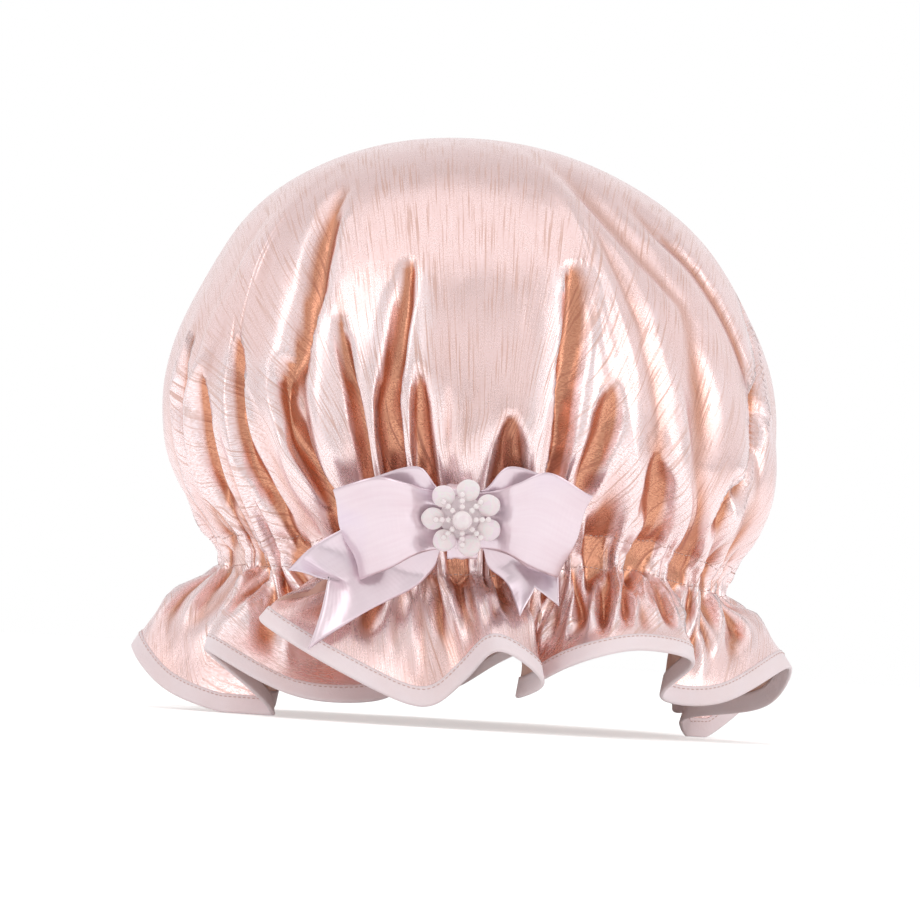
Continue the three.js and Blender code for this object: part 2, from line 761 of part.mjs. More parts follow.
function flower() {
  const group = new THREE.Group();
  group.position.z = strandLevel * Math.tan(radians(bowLean));
  const radius = backingDiameter / 2;
  const backing = new THREE.CylinderGeometry(radius, radius, backingThickness, roundSides);
  group.add(named('flower_backing', backing.translate(0, -flowerBase - backingThickness / 2, 0), felt));
  for (let n = 0; n < petalCount; n += 1) {
    const direction = radians(petalStart - n * turn / petalCount);
    const petal = petalDisc().rotateX(Math.PI);
    const [x, z] = [Math.cos(direction), Math.sin(direction)].map((share) => share * petalCircle / 2);
    group.add(named(`shell_petal_${n + 1}`, petal.translate(x, -petalBase, z), shellPetal));
  }
  for (let n = 0; n < strandCount; n += 1) {
    const strand = pearlStrand().rotateX(Math.PI / 2).rotateY(radians(n * turn / strandCount + strandStart));
    group.add(named(`pearl_strand_${n + 1}`, strand.translate(0, -strandLevel, 0), pearlCoat));
  }
  const pearl = new THREE.SphereGeometry(centrePearl / 2, pearlSides, pearlRings);
  group.add(named('centre_pearl', pearl.translate(0, -petalBase - centrePearl / 2, 0), pearlCoat));
  return group;
}

function bow() {
  const leaning = new THREE.Group();
  const radius = tackingDiameter / 2;
  const tacking = new THREE.CylinderGeometry(radius, radius, tackingLength, beadSides);
  const tackingPlace = wrapBack - layerGap - tackingDiameter / 2;
  leaning.add(
    named('bow_centre_wrap', centreWrap(), satin),
    named('bow_tacking_thread', tacking.rotateX(Math.PI / 2).translate(0, -tackingPlace, 0), thread),
    flower(),
  );
  leaning.rotation.x = radians(bowLean);
  const group = new THREE.Group();
  group.add(
    named('bow_loop_ribbon', ribbonStrip(bowStations(loopShares, loopSteps)), satin),
    named('bow_tail_ribbon', ribbonStrip(bowStations(hangingTails(), tailSteps)), satin),
    leaning,
  );
  group.rotation.y = -radians(bowTilt);
  group.position.set(bowOffset, -bowStandoff, bowHeight);
  return group;
}

const group = new THREE.Group();
group.add(cap(), bow());

// The origin goes under the middle of the whole object, on the surface that it stands on.
group.updateMatrixWorld(true);
const bounds = new THREE.Box3().setFromObject(group, true);
const middle = bounds.getCenter(new THREE.Vector3());
group.position.set(-middle.x, -middle.y, -bounds.min.z);

export default group;
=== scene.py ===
"""A gathered shower cap in crinkled metallic cloth, with a bound ruffle, a satin bow and a pearl flower.

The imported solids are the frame. Each sub-assembly below is worked out in millimetres in the cap's own upright
frame, moved to the solids' frame, and made into fine meshes that stand for the plain solids.
"""

from __future__ import annotations

import logging
import math
from dataclasses import dataclass, field
from enum import Enum
from typing import Sequence

import bpy
import numpy as np
from mathutils import Matrix, Vector


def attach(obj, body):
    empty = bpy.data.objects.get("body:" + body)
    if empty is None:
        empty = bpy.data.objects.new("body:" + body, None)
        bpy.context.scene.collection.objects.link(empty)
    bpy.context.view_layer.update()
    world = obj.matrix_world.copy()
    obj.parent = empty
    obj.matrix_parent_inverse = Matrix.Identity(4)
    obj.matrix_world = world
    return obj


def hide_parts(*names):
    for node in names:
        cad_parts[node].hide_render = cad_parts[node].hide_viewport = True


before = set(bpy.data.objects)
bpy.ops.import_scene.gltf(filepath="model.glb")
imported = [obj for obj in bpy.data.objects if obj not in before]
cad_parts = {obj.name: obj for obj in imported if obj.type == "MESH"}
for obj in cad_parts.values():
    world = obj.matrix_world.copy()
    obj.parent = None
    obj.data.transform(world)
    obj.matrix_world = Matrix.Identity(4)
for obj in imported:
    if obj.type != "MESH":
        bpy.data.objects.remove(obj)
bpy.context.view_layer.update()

log = logging.getLogger("shower_cap")
MM = 0.001
TURN = 360.0
# Millimetres in one unit of the coordinates on the flat cloth.
FLAT_UNIT = 100.0
Array = np.ndarray
Colour = tuple[float, float, float]
Socket = bpy.types.NodeSocket

# One row per line of the ruffle: direction at the neck, direction at the hem, reach and lift of the hem.
HEM_ROWS = np.array([
    [-88, -78.1, .971, .39], [-76, -66.5, .895, .09], [-65, -45.5, .723, -.03], [-58, -52, .932, .395],
    [-51, -32.9, .826, .119], [-42, -16.4, .674, .202], [-30.5, -35.1, .994, .6], [-23.5, -23, .942, .333],
    [-14, -8.6, .816, .113], [-6, -.8, .793, .284], [2, 5.1, .897, .49], [9, 13.8, .879, .304],
    [15.5, 11.3, .707, .199], [21, 16, .77, .338], [28, 21.6, .911, .477], [37, 31.2, .92, .544],
    [47, 43.8, .896, .477], [56, 46.9, .732, .248], [65, 60.2, .819, .238], [78, 79.6, .925, .499],
    [88, 93.5, .865, .219], [96, 103, .652, .114], [103, 107, .72, -.03], [111, 113, .92, .3], [121, 122, .72, .13],
    [131, 130, .93, .49], [145, 148, .97, .55], [160, 166, .95, .54], [176, 182, .72, .21], [188, 191, .88, .18],
    [201, 204, .72, .18], [215, 216, .96, .42], [229, 232, .72, -.03], [244, 250, .97, .45], [259, 266, .75, .15]])

# One row per valley of the crown: column, direction at the waist, direction at its tip, height of the tip, depth,
# then half its hollow's width in millimetres and how much of the depth is the hollow's. The front's hollows are
# in CREASES instead.
FOLD_ROWS = np.array([
    [2, -74, -60, .64, .065, 6, 0], [6, -57, -53, .37, .065, 7, 0], [10, -41, -49, .46, .075, 6, 0],
    [12, -32, -38, .84, .085, 6, 0], [14, -22, -27, .54, .07, 5, 0], [16, -15.5, -13, .67, .07, 6, 0],
    [18, -8.5, -9, .42, .055, 5, 0], [21, 5, 6.5, .34, .055, 8, 0], [24, 14, 22, .69, .08, 8, 0],
    [27, 25, 25.5, .42, .06, 8, 0], [30, 35, 30, .79, .04, 9, 0], [33, 46, 35, .88, .045, 8, 0],
    [36, 68, 50, .81, .05, 6, 0], [40, 86, 78, .66, .065, 7, 0], [44, 104, 98, .5, .055, 7, .7],
    [48, 123, 118, .74, .075, 7, .6], [51, 143, 138, .45, .055, 7, .8], [55, 163, 158, .7, .07, 6, .6],
    [58, 184, 180, .52, .06, 6, .8], [61, 206, 202, .78, .075, 7, .5], [64, 229, 226, .48, .06, 7, .8],
    [67, 255, 250, .7, .07, 6, .6]])

# The bow loops, as shares of the ribbon's width: upper edge, lower edge, depth.
LOOP_ROWS = np.array([
    [-.03, .29, -.03, -.29, .03], [-.24, .33, -.24, -.3, .06], [-.45, .56, -.5, -.36, .09],
    [-.9, .47, -.78, -.52, .11], [-1.3, .33, -1.02, -.61, .14], [-1.38, .31, -1.08, -.63, .2],
    [-1.3, .34, -1.02, -.61, .3], [-.9, .45, -.74, -.5, .42], [-.6, .39, -.52, -.38, .32],
    [-.36, .32, -.34, -.32, .15], [0, .29, 0, -.29, .13], [.36, .31, .34, -.31, .15], [.58, .38, .52, -.38, .31],
    [.9, .49, .72, -.49, .42], [1.32, .27, .94, -.59, .3], [1.4, .24, 1.0, -.61, .2], [1.32, .28, .95, -.59, .14],
    [.9, .46, .72, -.52, .11], [.48, .56, .5, -.37, .09], [.24, .33, .24, -.3, .06], [.03, .29, .03, -.29, .03]])

# The tails, as shares of the ribbon's width: upper edge, middle, lower edge, depth.
TAIL_ROWS = np.array([
    [-1.85, -.54, -1.38, -.59, -1.63, -1.37, .37], [-1.62, -.3, -1.25, -.65, -1.04, -.98, .16],
    [-1.05, .02, -.8, -.38, -.47, -.68, .01], [-.5, .2, -.42, -.14, -.3, -.5, -.06],
    [-.2, .28, -.2, 0, -.2, -.28, -.06], [.2, .28, .2, 0, .2, -.28, -.06], [.62, 0, .44, -.24, .27, -.48, -.06],
    [.98, -.4, .72, -.54, .47, -.66, .02], [1.03, -.91, .77, -.69, .62, -1.03, .12]])


class Slot(Enum):
    """The material slots."""

    LAME = "lame_cloth"
    LINING = "lining_cloth"
    ELASTIC = "elastic"
    BINDING = "binding_cloth"
    THREAD = "thread"
    SATIN = "satin_ribbon"
    SHELL = "shell_petal"
    PEARL = "pearl"
    FELT = "felt"


def smooth(value: Array | float) -> Array:
    """An eased step from 0 to 1."""
    share = np.clip(value, 0.0, 1.0)
    return share * share * (3 - 2 * share)


def mix(start: Array | float, end: Array | float, share: Array | float) -> Array:
    """The value that lies at a share of the way between two others."""
    return start + (end - start) * share


def unit(vectors: Array) -> Array:
    """Vectors brought to length one."""
    return vectors / np.maximum(np.linalg.norm(vectors, axis=-1, keepdims=True), 1e-9)


def grid_normals(grid: Array, closed: bool) -> Array:
    """Outward directions of a grid of points.

    Args:
        grid: points by ring and column.
        closed: whether the columns close on themselves.

    Returns:
        One unit vector for each point.
    """
    across = np.gradient(grid, axis=1)
    if closed:
        across = (np.roll(grid, -1, axis=1) - np.roll(grid, 1, axis=1)) / 2
    along = np.gradient(grid, axis=0)
    return unit(np.cross(along, across))


def distances(points: Array) -> Array:
    """Distance along a path to each of its points."""
    return np.concatenate([[0], np.cumsum(np.linalg.norm(np.diff(points, axis=0), axis=1))])


def blurred(values: Array, reach: int, axis: int = 0) -> Array:
    """Values evened out with their neighbours round the cap.

    Args:
        values: values that close on themselves along the axis.
        reach: how many neighbours on each side count.
        axis: the axis that runs round the cap.

    Returns:
        The weighted mean at each place.
    """
    weights = np.hanning(2 * reach + 3)[1:-1]
    around = sum(weight * np.roll(values, shift, axis=axis)
                 for weight, shift in zip(weights, range(-reach, reach + 1)))
    return around / weights.sum()


def hermite(start: Array, end: Array, leaving: Array, arriving: Array, share: float) -> Array:
    """A point of the curve between two points.

    Args:
        start: where the curve begins.
        end: where it ends.
        leaving: its direction and speed at the start.
        arriving: its direction and speed at the end.
        share: how far along the curve the point lies, from 0 to 1.

    Returns:
        The point.
    """
    square, cube = share ** 2, share ** 3
    return ((2 * cube - 3 * square + 1) * start + (cube - 2 * square + share) * leaving
            + (3 * square - 2 * cube) * end + (cube - square) * arriving)


def catmull(points: Array, steps: int) -> Array:
    """An open centripetal curve through points.

    Args:
        points: the points that the curve passes, one row each.
        steps: how many steps lie between two neighbouring points.

    Returns:
        The curve's points, both ends included.
    """
    padded = np.vstack([2 * points[0] - points[1], points, 2 * points[-1] - points[-2]])
    found = []
    for n in range(1, len(padded) - 2):
        p0, p1, p2, p3 = padded[n - 1:n + 3]
        gaps = [max(float(np.linalg.norm(b - a)) ** .5, 1e-4) for a, b in ((p0, p1), (p1, p2), (p2, p3))]
        leaving = (p1 - p0) / gaps[0] - (p2 - p0) / (gaps[0] + gaps[1]) + (p2 - p1) / gaps[1]
        arriving = (p2 - p1) / gaps[1] - (p3 - p1) / (gaps[1] + gaps[2]) + (p3 - p2) / gaps[2]
        found += [hermite(p1, p2, leaving * gaps[1], arriving * gaps[1], step / steps) for step in range(steps)]
    found.append(points[-1])
    return np.array(found)


def ripples(turns: Array, heights: Array, seed: int, around: tuple[int, int], upward: float, count: int) -> Array:
    """Smooth irregular waves on the cloth.

    Args:
        turns: place round the cap, from 0 to 1.
        heights: place along the cloth in millimetres.
        seed: fixed seed of the waves.
        around: fewest and most waves round the cap.
        upward: most waves in 100 mm along the cloth.
        count: how many waves are added up.

    Returns:
        Values of about -1 to 1.
    """
    rng = np.random.default_rng(seed)
    total = np.zeros(np.broadcast(turns, heights).shape)
    for _ in range(count):
        n, m, start = rng.integers(around[0], around[1] + 1), rng.uniform(-upward, upward), rng.uniform(0, 2 * np.pi)
        total += np.cos(2 * np.pi * (n * turns + m * heights / 100) + start)
    return total / math.sqrt(count)


@dataclass
class CapForm:
    """The gathered dome, neck and ruffle as one surface, in millimetres, upright, before its fine detail."""

    crown_width: float = 263.6
    top_height: float = 251.0
    wide_height: float = 123.0
    waist_height: float = 115.0
    roundness: float = 2.1
    neck_width: float = 220.0
    neck_height: float = 67.0
    neck_rise: float = 8.0
    rise_angle: float = 33.0
    rise_spread: float = 24.0
    hem_reach: float = 150.0
    depth_share: float = .95
    lean_share: float = .06
    lean_height: float = 140.0
    gather_depth: float = 5.0
    casing_width: float = 10.0
    binding_width: float = 8.0
    edge_rise: float = .95
    belly: float = 3.0
    valley_share: float = .32
    hollow_limit: float = .42

    def middle(self, height: Array | float) -> Array | float:
        """Where the leaning middle line stands at a height, from left to right."""
        return self.lean_share * (self.lean_height - height)

    def pole(self) -> Array:
        """The crown's highest point."""
        return np.array([self.middle(self.top_height), 0, self.top_height])

    def around(self, points: Array) -> tuple[Array, Array]:
        """How points lie round the leaning middle line, as if the cap were as deep as it is wide.

        Args:
            points: points of any grid.

        Returns:
            Their directions in degrees, from -180 to 180, and their distances.
        """
        x, y = points[..., 0] - self.middle(points[..., 2]), points[..., 1] / self.depth_share
        return np.degrees(np.arctan2(x, -y)), np.hypot(x, y)

    def hem_value(self, cell: int, place: Array) -> Array:
        """A smooth value between the rows of the hem's table.

        Args:
            cell: the table's column.
            place: where it is read, counted in rows.

        Returns:
            One value for each place.
        """
        rows = len(HEM_ROWS)
        row = np.floor(place).astype(int)
        t = place - row

        def at(index: Array) -> Array:
            """The table's value, a full turn further past its end."""
            laps = index // rows
            return HEM_ROWS[index - laps * rows, cell] + (laps * TURN if cell < 2 else 0)

        a, b, c, d = at(row - 1), at(row), at(row + 1), at(row + 2)
        return b + ((c - a) * t + (2 * a - 5 * b + 4 * c - d) * t ** 2 + (3 * b - a - 3 * c + d) * t ** 3) / 2

    def folds(self) -> Array:
        """The valleys' table with its neighbours past both ends.

        Returns:
            The table with one more row at each end, a full turn away.
        """
        before, after = FOLD_ROWS[-1].copy(), FOLD_ROWS[0].copy()
        lap = [2 * len(HEM_ROWS), TURN, TURN]
        before[:3] -= lap
        after[:3] += lap
        return np.vstack([before, FOLD_ROWS, after])

    def height_share(self, height: Array | float) -> Array:
        """How far up the crown a height lies."""
        return (height - self.neck_height) / (self.top_height - self.neck_height)

    def above_neck(self, height: Array) -> Array:
        """0 at the neck and 1 at the waist and above."""
        return smooth((height - self.neck_height) / (self.waist_height - self.neck_height))

    def meridian(self, height: Array) -> Array:
        """Half the cap's width over the ridges of its folds.

        Args:
            height: heights in millimetres.

        Returns:
            One distance from the middle line for each height.
        """
        wide = self.crown_width / 2
        up = np.clip((height - self.wide_height) / (self.top_height - self.wide_height), 0, 1)
        down = np.clip((self.wide_height - height) / (self.wide_height - self.neck_height), 0, 1)
        dome = wide * np.maximum(1 - up ** self.roundness, 0) ** (1 / self.roundness)
        return np.where(height >= self.wide_height, dome, mix(self.neck_width / 2, wide, 1 - down ** 2))

    def crown(self, places: Array, heights: Array) -> tuple[Array, Array]:
        """Points of the crown.

        Args:
            places: place along the hem's table, one for each column.
            heights: one height for each ring.

        Returns:
            The points by ring and column, and their directions in degrees.
        """
        table = self.folds()
        column = 2 * places - .5
        height = heights[:, None]
        right = np.clip(np.searchsorted(table[:, 0], column, side="right"), 1, len(table) - 1)
        left = right - 1
        share = (column - table[left, 0]) / (table[right, 0] - table[left, 0])
        waist = self.height_share(self.waist_height)
        tall = self.top_height - self.neck_height

        def direction(index: Array) -> Array:
            """A valley's direction at each height."""
            way = smooth((self.height_share(height) - waist) / (table[index, 3] - waist))
            return mix(table[index, 1], table[index, 2], way)

        def depth(index: Array) -> Array:
            """A valley's depth at each height."""
            begun = smooth((table[index, 3] - self.height_share(height)) / (table[index, 3] * .75))
            return table[index, 4] * tall * begun

        valley = .5 + .5 * np.cos(2 * np.pi * share)[None, :]
        radius = self.meridian(height)
        spacing = np.radians(direction(right) - direction(left)) * radius
        near = share < .5
        full, half, pressed = (np.where(near, table[left, cell], table[right, cell]) for cell in (4, 5, 6))
        deepest = np.where(near, depth(left), depth(right))
        half = half * (deepest / (tall * full)) ** .5
        half = np.minimum(half, self.hollow_limit * spacing) + .2
        inside = 1 - (np.minimum(share, 1 - share) * spacing / half) ** 2
        trough = np.maximum(.5 * (inside + np.sqrt(inside ** 2 + .03)), 0) * pressed
        angle = mix(self.hem_value(0, places)[None, :], mix(direction(left), direction(right), share),
                    self.above_neck(height))
        crown = self.valley_share * mix(depth(left), depth(right), share) * valley + deepest * trough
        deep = mix(self.gather_depth * valley, crown, self.above_neck(height))
        return self.body(angle, radius - deep, height), angle

    def body(self, angle: Array, radius: Array, height: Array) -> Array:
        """Points round the leaning middle line, with the neck a little higher on one side.

        Args:
            angle: directions in degrees.
            radius: distances from the middle line.
            height: heights before the neck's rise.

        Returns:
            The points.
        """
        turn = np.radians(angle)
        away = (angle - self.rise_angle + TURN / 2) % TURN - TURN / 2
        rise = self.neck_rise * np.exp(-((away / self.rise_spread) ** 2)) * (1 - self.above_neck(height))
        x = self.middle(height) + radius * np.sin(turn)
        return np.stack(np.broadcast_arrays(x, -self.depth_share * radius * np.cos(turn), height + rise), axis=-1)

    def hem(self, places: Array, reach: int = 7) -> Array:
        """The cloth's edge inside its binding.

        Args:
            places: place along the hem's table, one for each column.
            reach: how many neighbours on each side even the edge out.

        Returns:
            One point for each column.
        """
        values = np.stack([self.hem_value(cell, places) for cell in (1, 2, 3)])
        weights = np.hanning(2 * reach + 3)[1:-1]
        columns = np.arange(len(places))[:, None] + np.arange(-reach, reach + 1)
        near = values[:, columns % len(places)]
        near[0] += columns // len(places) * TURN
        turn, far, lift = (near * weights).sum(axis=2) / weights.sum()
        turn = np.radians(turn)
        out = far * self.hem_reach
        height = np.maximum(0, lift) * self.neck_height + self.edge_rise
        return np.stack([self.middle(self.neck_height) + out * np.sin(turn), -out * np.cos(turn), height], axis=-1)


class Press(Enum):
    """How a line is pressed into the crown."""

    GROOVE = "groove"
    HOLLOW = "hollow"


@dataclass
class Crease:
    """A soft line pressed into the crown or standing out of it, or a hollow with a rounded tip.

    Its points are directions in degrees and heights in millimetres, from its top down.
    """

    kind: Press
    points: Sequence[tuple[float, float]]
    depth: float
    left: float
    right: float
    spread: float = 1.0
    tip: float = 22.0
    fade: float = 18.0

    def press(self, angles: Array, heights: Array, radius: Array) -> Array:
        """How far each point of the crown is pressed in.

        Args:
            angles: directions in degrees by ring and column.
            heights: one height for each ring.
            radius: distances from the middle.

        Returns:
            A distance in millimetres for each point.
        """
        path = np.array(self.points[::-1], dtype=float)
        low, high = path[0, 1], path[-1, 1]
        line = np.interp(heights, path[:, 1], path[:, 0])
        away = ((angles - line + TURN / 2) % TURN - TURN / 2) * np.pi / 180 * radius
        width = np.where(away < 0, self.left, self.right)
        ending = smooth((heights - low) / self.fade + .5)
        if self.kind is Press.GROOVE:
            return self.depth * np.exp(-((away / width) ** 2)) * smooth((high - heights) / self.fade + .5) * ending
        way = np.clip((high - heights) / (high - low), 0, 1)
        opened = np.clip((high - heights) / self.tip, 0, 1)
        inside = 1 - (away / (width * mix(1, self.spread, way) * opened ** .45 + .2)) ** 2
        trough = np.maximum(.5 * (inside + np.sqrt(inside ** 2 + .02)), 0)
        return self.depth * opened ** .5 * mix(.85, 1, way) * trough * ending


CREASES = (
    Crease(Press.HOLLOW, [(-38.5, 224), (-35, 204), (-32.5, 176), (-33.5, 154), (-35, 134)], 6.5, 9, 6, .8, 30, 26),
    Crease(Press.HOLLOW, [(-37.5, 148), (-37, 130), (-34, 113), (-30, 97), (-27, 84)], 8.5, 6.5, 6, .9, 16),
    Crease(Press.GROOVE, [(-30.5, 138), (-29, 125), (-26, 102)], -2.4, 5, 5),
    Crease(Press.HOLLOW, [(-26.5, 166), (-24.8, 152), (-22.6, 134), (-20.6, 110), (-20, 90)], 8.0, 3.8, 3.4, .9, 14),
    Crease(Press.HOLLOW, [(-13, 190), (-13.5, 172), (-14.5, 151), (-16, 130), (-15, 107), (-14.5, 88)],
           9.0, 5.2, 4.6, .8, 20),
    Crease(Press.HOLLOW, [(-10.3, 145), (-10, 127), (-9.4, 107), (-8.8, 88)], 7.5, 3.2, 4.5, 1.1, 16),
    Crease(Press.HOLLOW, [(-4.6, 139), (-5.2, 115)], 2.0, 2, 2),
    Crease(Press.HOLLOW, [(6.5, 128), (6.5, 113), (6, 88)], 7.0, 6, 7, 1.4, 14),
    Crease(Press.HOLLOW, [(20.5, 193), (18.8, 180), (15.5, 143), (14, 104), (13, 88)], 6.2, 1.6, 15, .35, 8),
    Crease(Press.HOLLOW, [(25.5, 143), (24, 124), (21.5, 106), (20, 88)], 8.0, 7.5, 7, 1, 13),
    Crease(Press.HOLLOW, [(35.5, 116), (37, 102), (38, 86)], 6.5, 8, 8, 1, 12),
    Crease(Press.HOLLOW, [(57, 112), (57, 84)], 5.5, 6, 6, 1.1, 14),
    Crease(Press.GROOVE, [(29, 214), (33.5, 167)], 1.3, 3, 7, fade=14),
    Crease(Press.GROOVE, [(32.5, 234), (41.5, 196), (47, 180), (47, 123)], 2.8, 6, 9, fade=26),
    Crease(Press.GROOVE, [(51, 220), (58.5, 198), (65.5, 169), (70, 141), (69, 110)], 3.2, 9, 3, fade=22),
    Crease(Press.HOLLOW, [(80, 190), (76, 166), (71, 142), (63, 115), (59, 98)], 8.5, 7, 9, 1, 12),
    Crease(Press.GROOVE, [(-69, 158), (-75, 134), (-76, 107), (-79, 88)], -2.8, 4.5, 3.6, fade=40),
    Crease(Press.HOLLOW, [(-68, 158), (-71, 144), (-72.5, 128), (-71.5, 105), (-72, 84)], 8.5, 6.5, 7, 1, 24),
    Crease(Press.GROOVE, [(-61, 150), (-66, 130), (-66.5, 110), (-67, 88)], -2.4, 3.2, 3.4, fade=30),
    Crease(Press.HOLLOW, [(-61.5, 140), (-61.5, 104), (-62, 84)], 9.0, 6, 8, 1.1, 18),
    Crease(Press.HOLLOW, [(-50.5, 156), (-50, 134), (-48, 112), (-45, 92), (-43.5, 82)], 9.0, 6.5, 7, 1, 16),
    Crease(Press.GROOVE, [(120, 205), (124, 170), (122, 120)], 2.4, 8, 4, fade=24),
    Crease(Press.HOLLOW, [(172, 150), (174, 95)], 6.0, 6, 5),
    Crease(Press.HOLLOW, [(133, 140), (130, 92)], 6.0, 5, 6),
    Crease(Press.HOLLOW, [(195, 128), (193, 90)], 6.0, 6, 5),
    Crease(Press.HOLLOW, [(218, 150), (215, 92)], 6.0, 6, 5),
    Crease(Press.HOLLOW, [(243, 126), (240, 90)], 5.5, 5, 6),
    Crease(Press.HOLLOW, [(95, 130), (97, 92)], 5.5, 6, 5),
)


@dataclass(frozen=True)
class Gathers:
    """One size of gathers: how many go round, their depth and how far they reach up and down from the casing."""

    count: int
    seed: int
    sway: float
    moods: tuple[int, int]
    crisp: float
    depth: float
    up: float
    down: float

    def lift(self, turns: Array, arcs: Array, above: Array, below: Array) -> Array:
        """How far the gathers lift the cloth, more in some places than in others.

        Args:
            turns: place round the cap, from 0 to 1.
            arcs: place along the cloth.
            above: distance above the casing.
            below: distance below it.

        Returns:
            A distance in millimetres for each point.
        """
        wander = self.sway * ripples(turns, arcs, self.seed, around=(2, 9), upward=.9, count=6)
        mood = np.clip(1 + .5 * ripples(turns, 0 * arcs, self.seed + 1, self.moods, 0, 8), .3, 1.8)
        wave = np.arcsin(self.crisp * np.sin(2 * np.pi * (self.count * turns + wander))) * 2 / np.pi
        return self.depth * (wave * mood) * np.exp(-above / self.up) * np.exp(-below / self.down)


# The gathers that the elastic draws the cloth into, from the widest to the narrowest.
WIDE_GATHERS = Gathers(count=31, seed=11, sway=.6, moods=(5, 30), crisp=.97, depth=2.4, up=26, down=90)
FINE_GATHERS = Gathers(count=71, seed=21, sway=.5, moods=(12, 60), crisp=.95, depth=1.8, up=13, down=26)
TINY_GATHERS = Gathers(count=121, seed=41, sway=.4, moods=(20, 90), crisp=.9, depth=1.0, up=7, down=9)


@dataclass
class Ring:
    """One ring of the crown: its height, and every how many columns it keeps a point."""

    height: float
    keep: int


@dataclass
class CapCloth:
    """The cap's cloth as a fine grid, from the pole to the hem, and the pieces that follow it."""

    form: CapForm = field(default_factory=CapForm)
    columns: int = 640
    thickness: float = .35
    lining_thickness: float = .25
    lining_gap: float = .3
    elastic_outer: float = 103.4
    hollow_depth: float = 2.2
    gathered_depth: float = 1.3
    gathered_shade: float = .2
    hollow_reach: float = 17.0
    tuck: float = 5.5
    tuck_place: float = 5.55
    tuck_width: float = .38
    casing_rings: int = 6
    ruffle_rings: int = 19
    bound_rings: int = 4

    @property
    def neck_arc(self) -> float:
        """How far along the cloth the middle of the casing lies."""
        return (self.arcs[self.casing[0]] + self.arcs[self.casing[1]]) / 2

    def ring_list(self) -> list[Ring]:
        """The rings from just under the pole to the casing's lower edge, spaced along the cloth.

        Returns:
            The rings from the top down.
        """
        form = self.form
        rise = np.linspace(np.pi / 2, 0, 900)
        half = 2 / form.roundness
        crown = np.stack([form.crown_width / 2 * np.cos(rise) ** half,
                          form.wide_height + (form.top_height - form.wide_height) * np.sin(rise) ** half], axis=1)
        top = form.neck_height + form.casing_width / 2
        lower = np.linspace(form.wide_height, top, 200)[1:]
        path = np.vstack([crown, np.stack([form.meridian(lower), lower], axis=1)])
        arcs = distances(path)
        # Spacing of the rings, how far along the cloth it holds, and every how many columns they keep a point.
        steps = [(4.5, 45, 8), (5.2, 112, 4), (2.9, 190, 2), (2.6, arcs[-1], 1)]
        found, arc = [], 0.0
        for step, end, keep in steps:
            count = max(1, round((end - arc) / step))
            found += [(arc + (end - arc) * (n + 1) / count, keep) for n in range(count)]
            arc = end
        rings = [Ring(float(np.interp(at, arcs, path[:, 1])), keep) for at, keep in found]
        rings += [Ring(top - form.casing_width * (n + 1) / self.casing_rings, 1) for n in range(self.casing_rings)]
        return rings

    def ruffle(self, neck: Array, hem: Array, places: Array) -> tuple[Array, Array]:
        """The ruffle from the casing to the cloth's edge.

        Args:
            neck: the casing's lower ring.
            hem: the cloth's edge.
            places: place along the hem's table, one for each column.

        Returns:
            The points by ring and column, and how far down the ruffle each ring lies, from 0 to 1.
        """
        form = self.form
        outward = unit(np.stack([neck[:, 0] - form.middle(form.neck_height), neck[:, 1], 0 * neck[:, 1]], axis=-1))

        def bulged(share: float) -> Array:
            """The straight way from the neck to the hem, with the ruffle's belly."""
            return mix(neck, hem, share) + outward * (4 * share * (1 - share) * form.belly)

        self.upward = unit(blurred(unit(bulged(.45) - hem), round(self.columns / len(HEM_ROWS))))
        top = hem + self.upward * (form.binding_width - form.edge_rise)
        length = np.linalg.norm(top - neck, axis=1, keepdims=True)
        leaving = unit(bulged(.2) - neck) * length
        tucked = outward * (self.tuck * np.exp(-(((places - self.tuck_place) / self.tuck_width) ** 2)))[:, None]
        shares = (np.arange(self.ruffle_rings) + 1) / self.ruffle_rings
        rings = [hermite(neck, top, leaving, -self.upward * length, share)
                 - tucked * float(smooth(share / .2) * (1 - smooth((share - .45) / .45))) for share in shares]
        rings += [mix(top, hem, (n + 1) / self.bound_rings) for n in range(self.bound_rings)]
        return np.array(rings), np.concatenate([shares, np.ones(self.bound_rings)])

    def build(self) -> None:
        """Works out the fine grid, its normals, the mask of its painted shade and highlight, and its place on the flat
        cloth.
        """
        rings = self.ring_list()
        places = len(HEM_ROWS) * np.arange(self.columns) / self.columns
        heights = np.array([ring.height for ring in rings])
        crown, self.angles = self.form.crown(places, heights)
        ruffle, shares = self.ruffle(crown[-1], self.form.hem(places), places)
        self.base = np.concatenate([crown, ruffle])
        self.crown_rings = len(rings)
        self.keeps = [ring.keep for ring in rings] + [1] * len(ruffle)
        self.casing = (len(rings) - self.casing_rings - 1, len(rings) - 1)
        self.top_ring = len(rings) + self.ruffle_rings - 1
        self.shares = np.concatenate([np.zeros(len(rings)), shares])
        self.turns = places / len(HEM_ROWS)
        self.heights = np.concatenate([heights, ruffle[..., 2].mean(axis=1)])
        self.pole = self.form.pole()
        steps = np.linalg.norm(np.diff(self.base, axis=0), axis=2).mean(axis=1)
        first = np.linalg.norm(crown[0] - self.pole, axis=1).mean()
        self.arcs = np.concatenate([[first], first + np.cumsum(steps)])
        sense = grid_normals(self.base, True)
        self.grid = self.base + sense * self.detail(self.base)[..., None]
        self.normals = self.even(grid_normals(self.grid, True))
        # The mask that paints shade into the cloth's hollows and near the casing, and a highlight onto its ridges.
        self.fold_shade_mask = self.shades(self.even(sense))

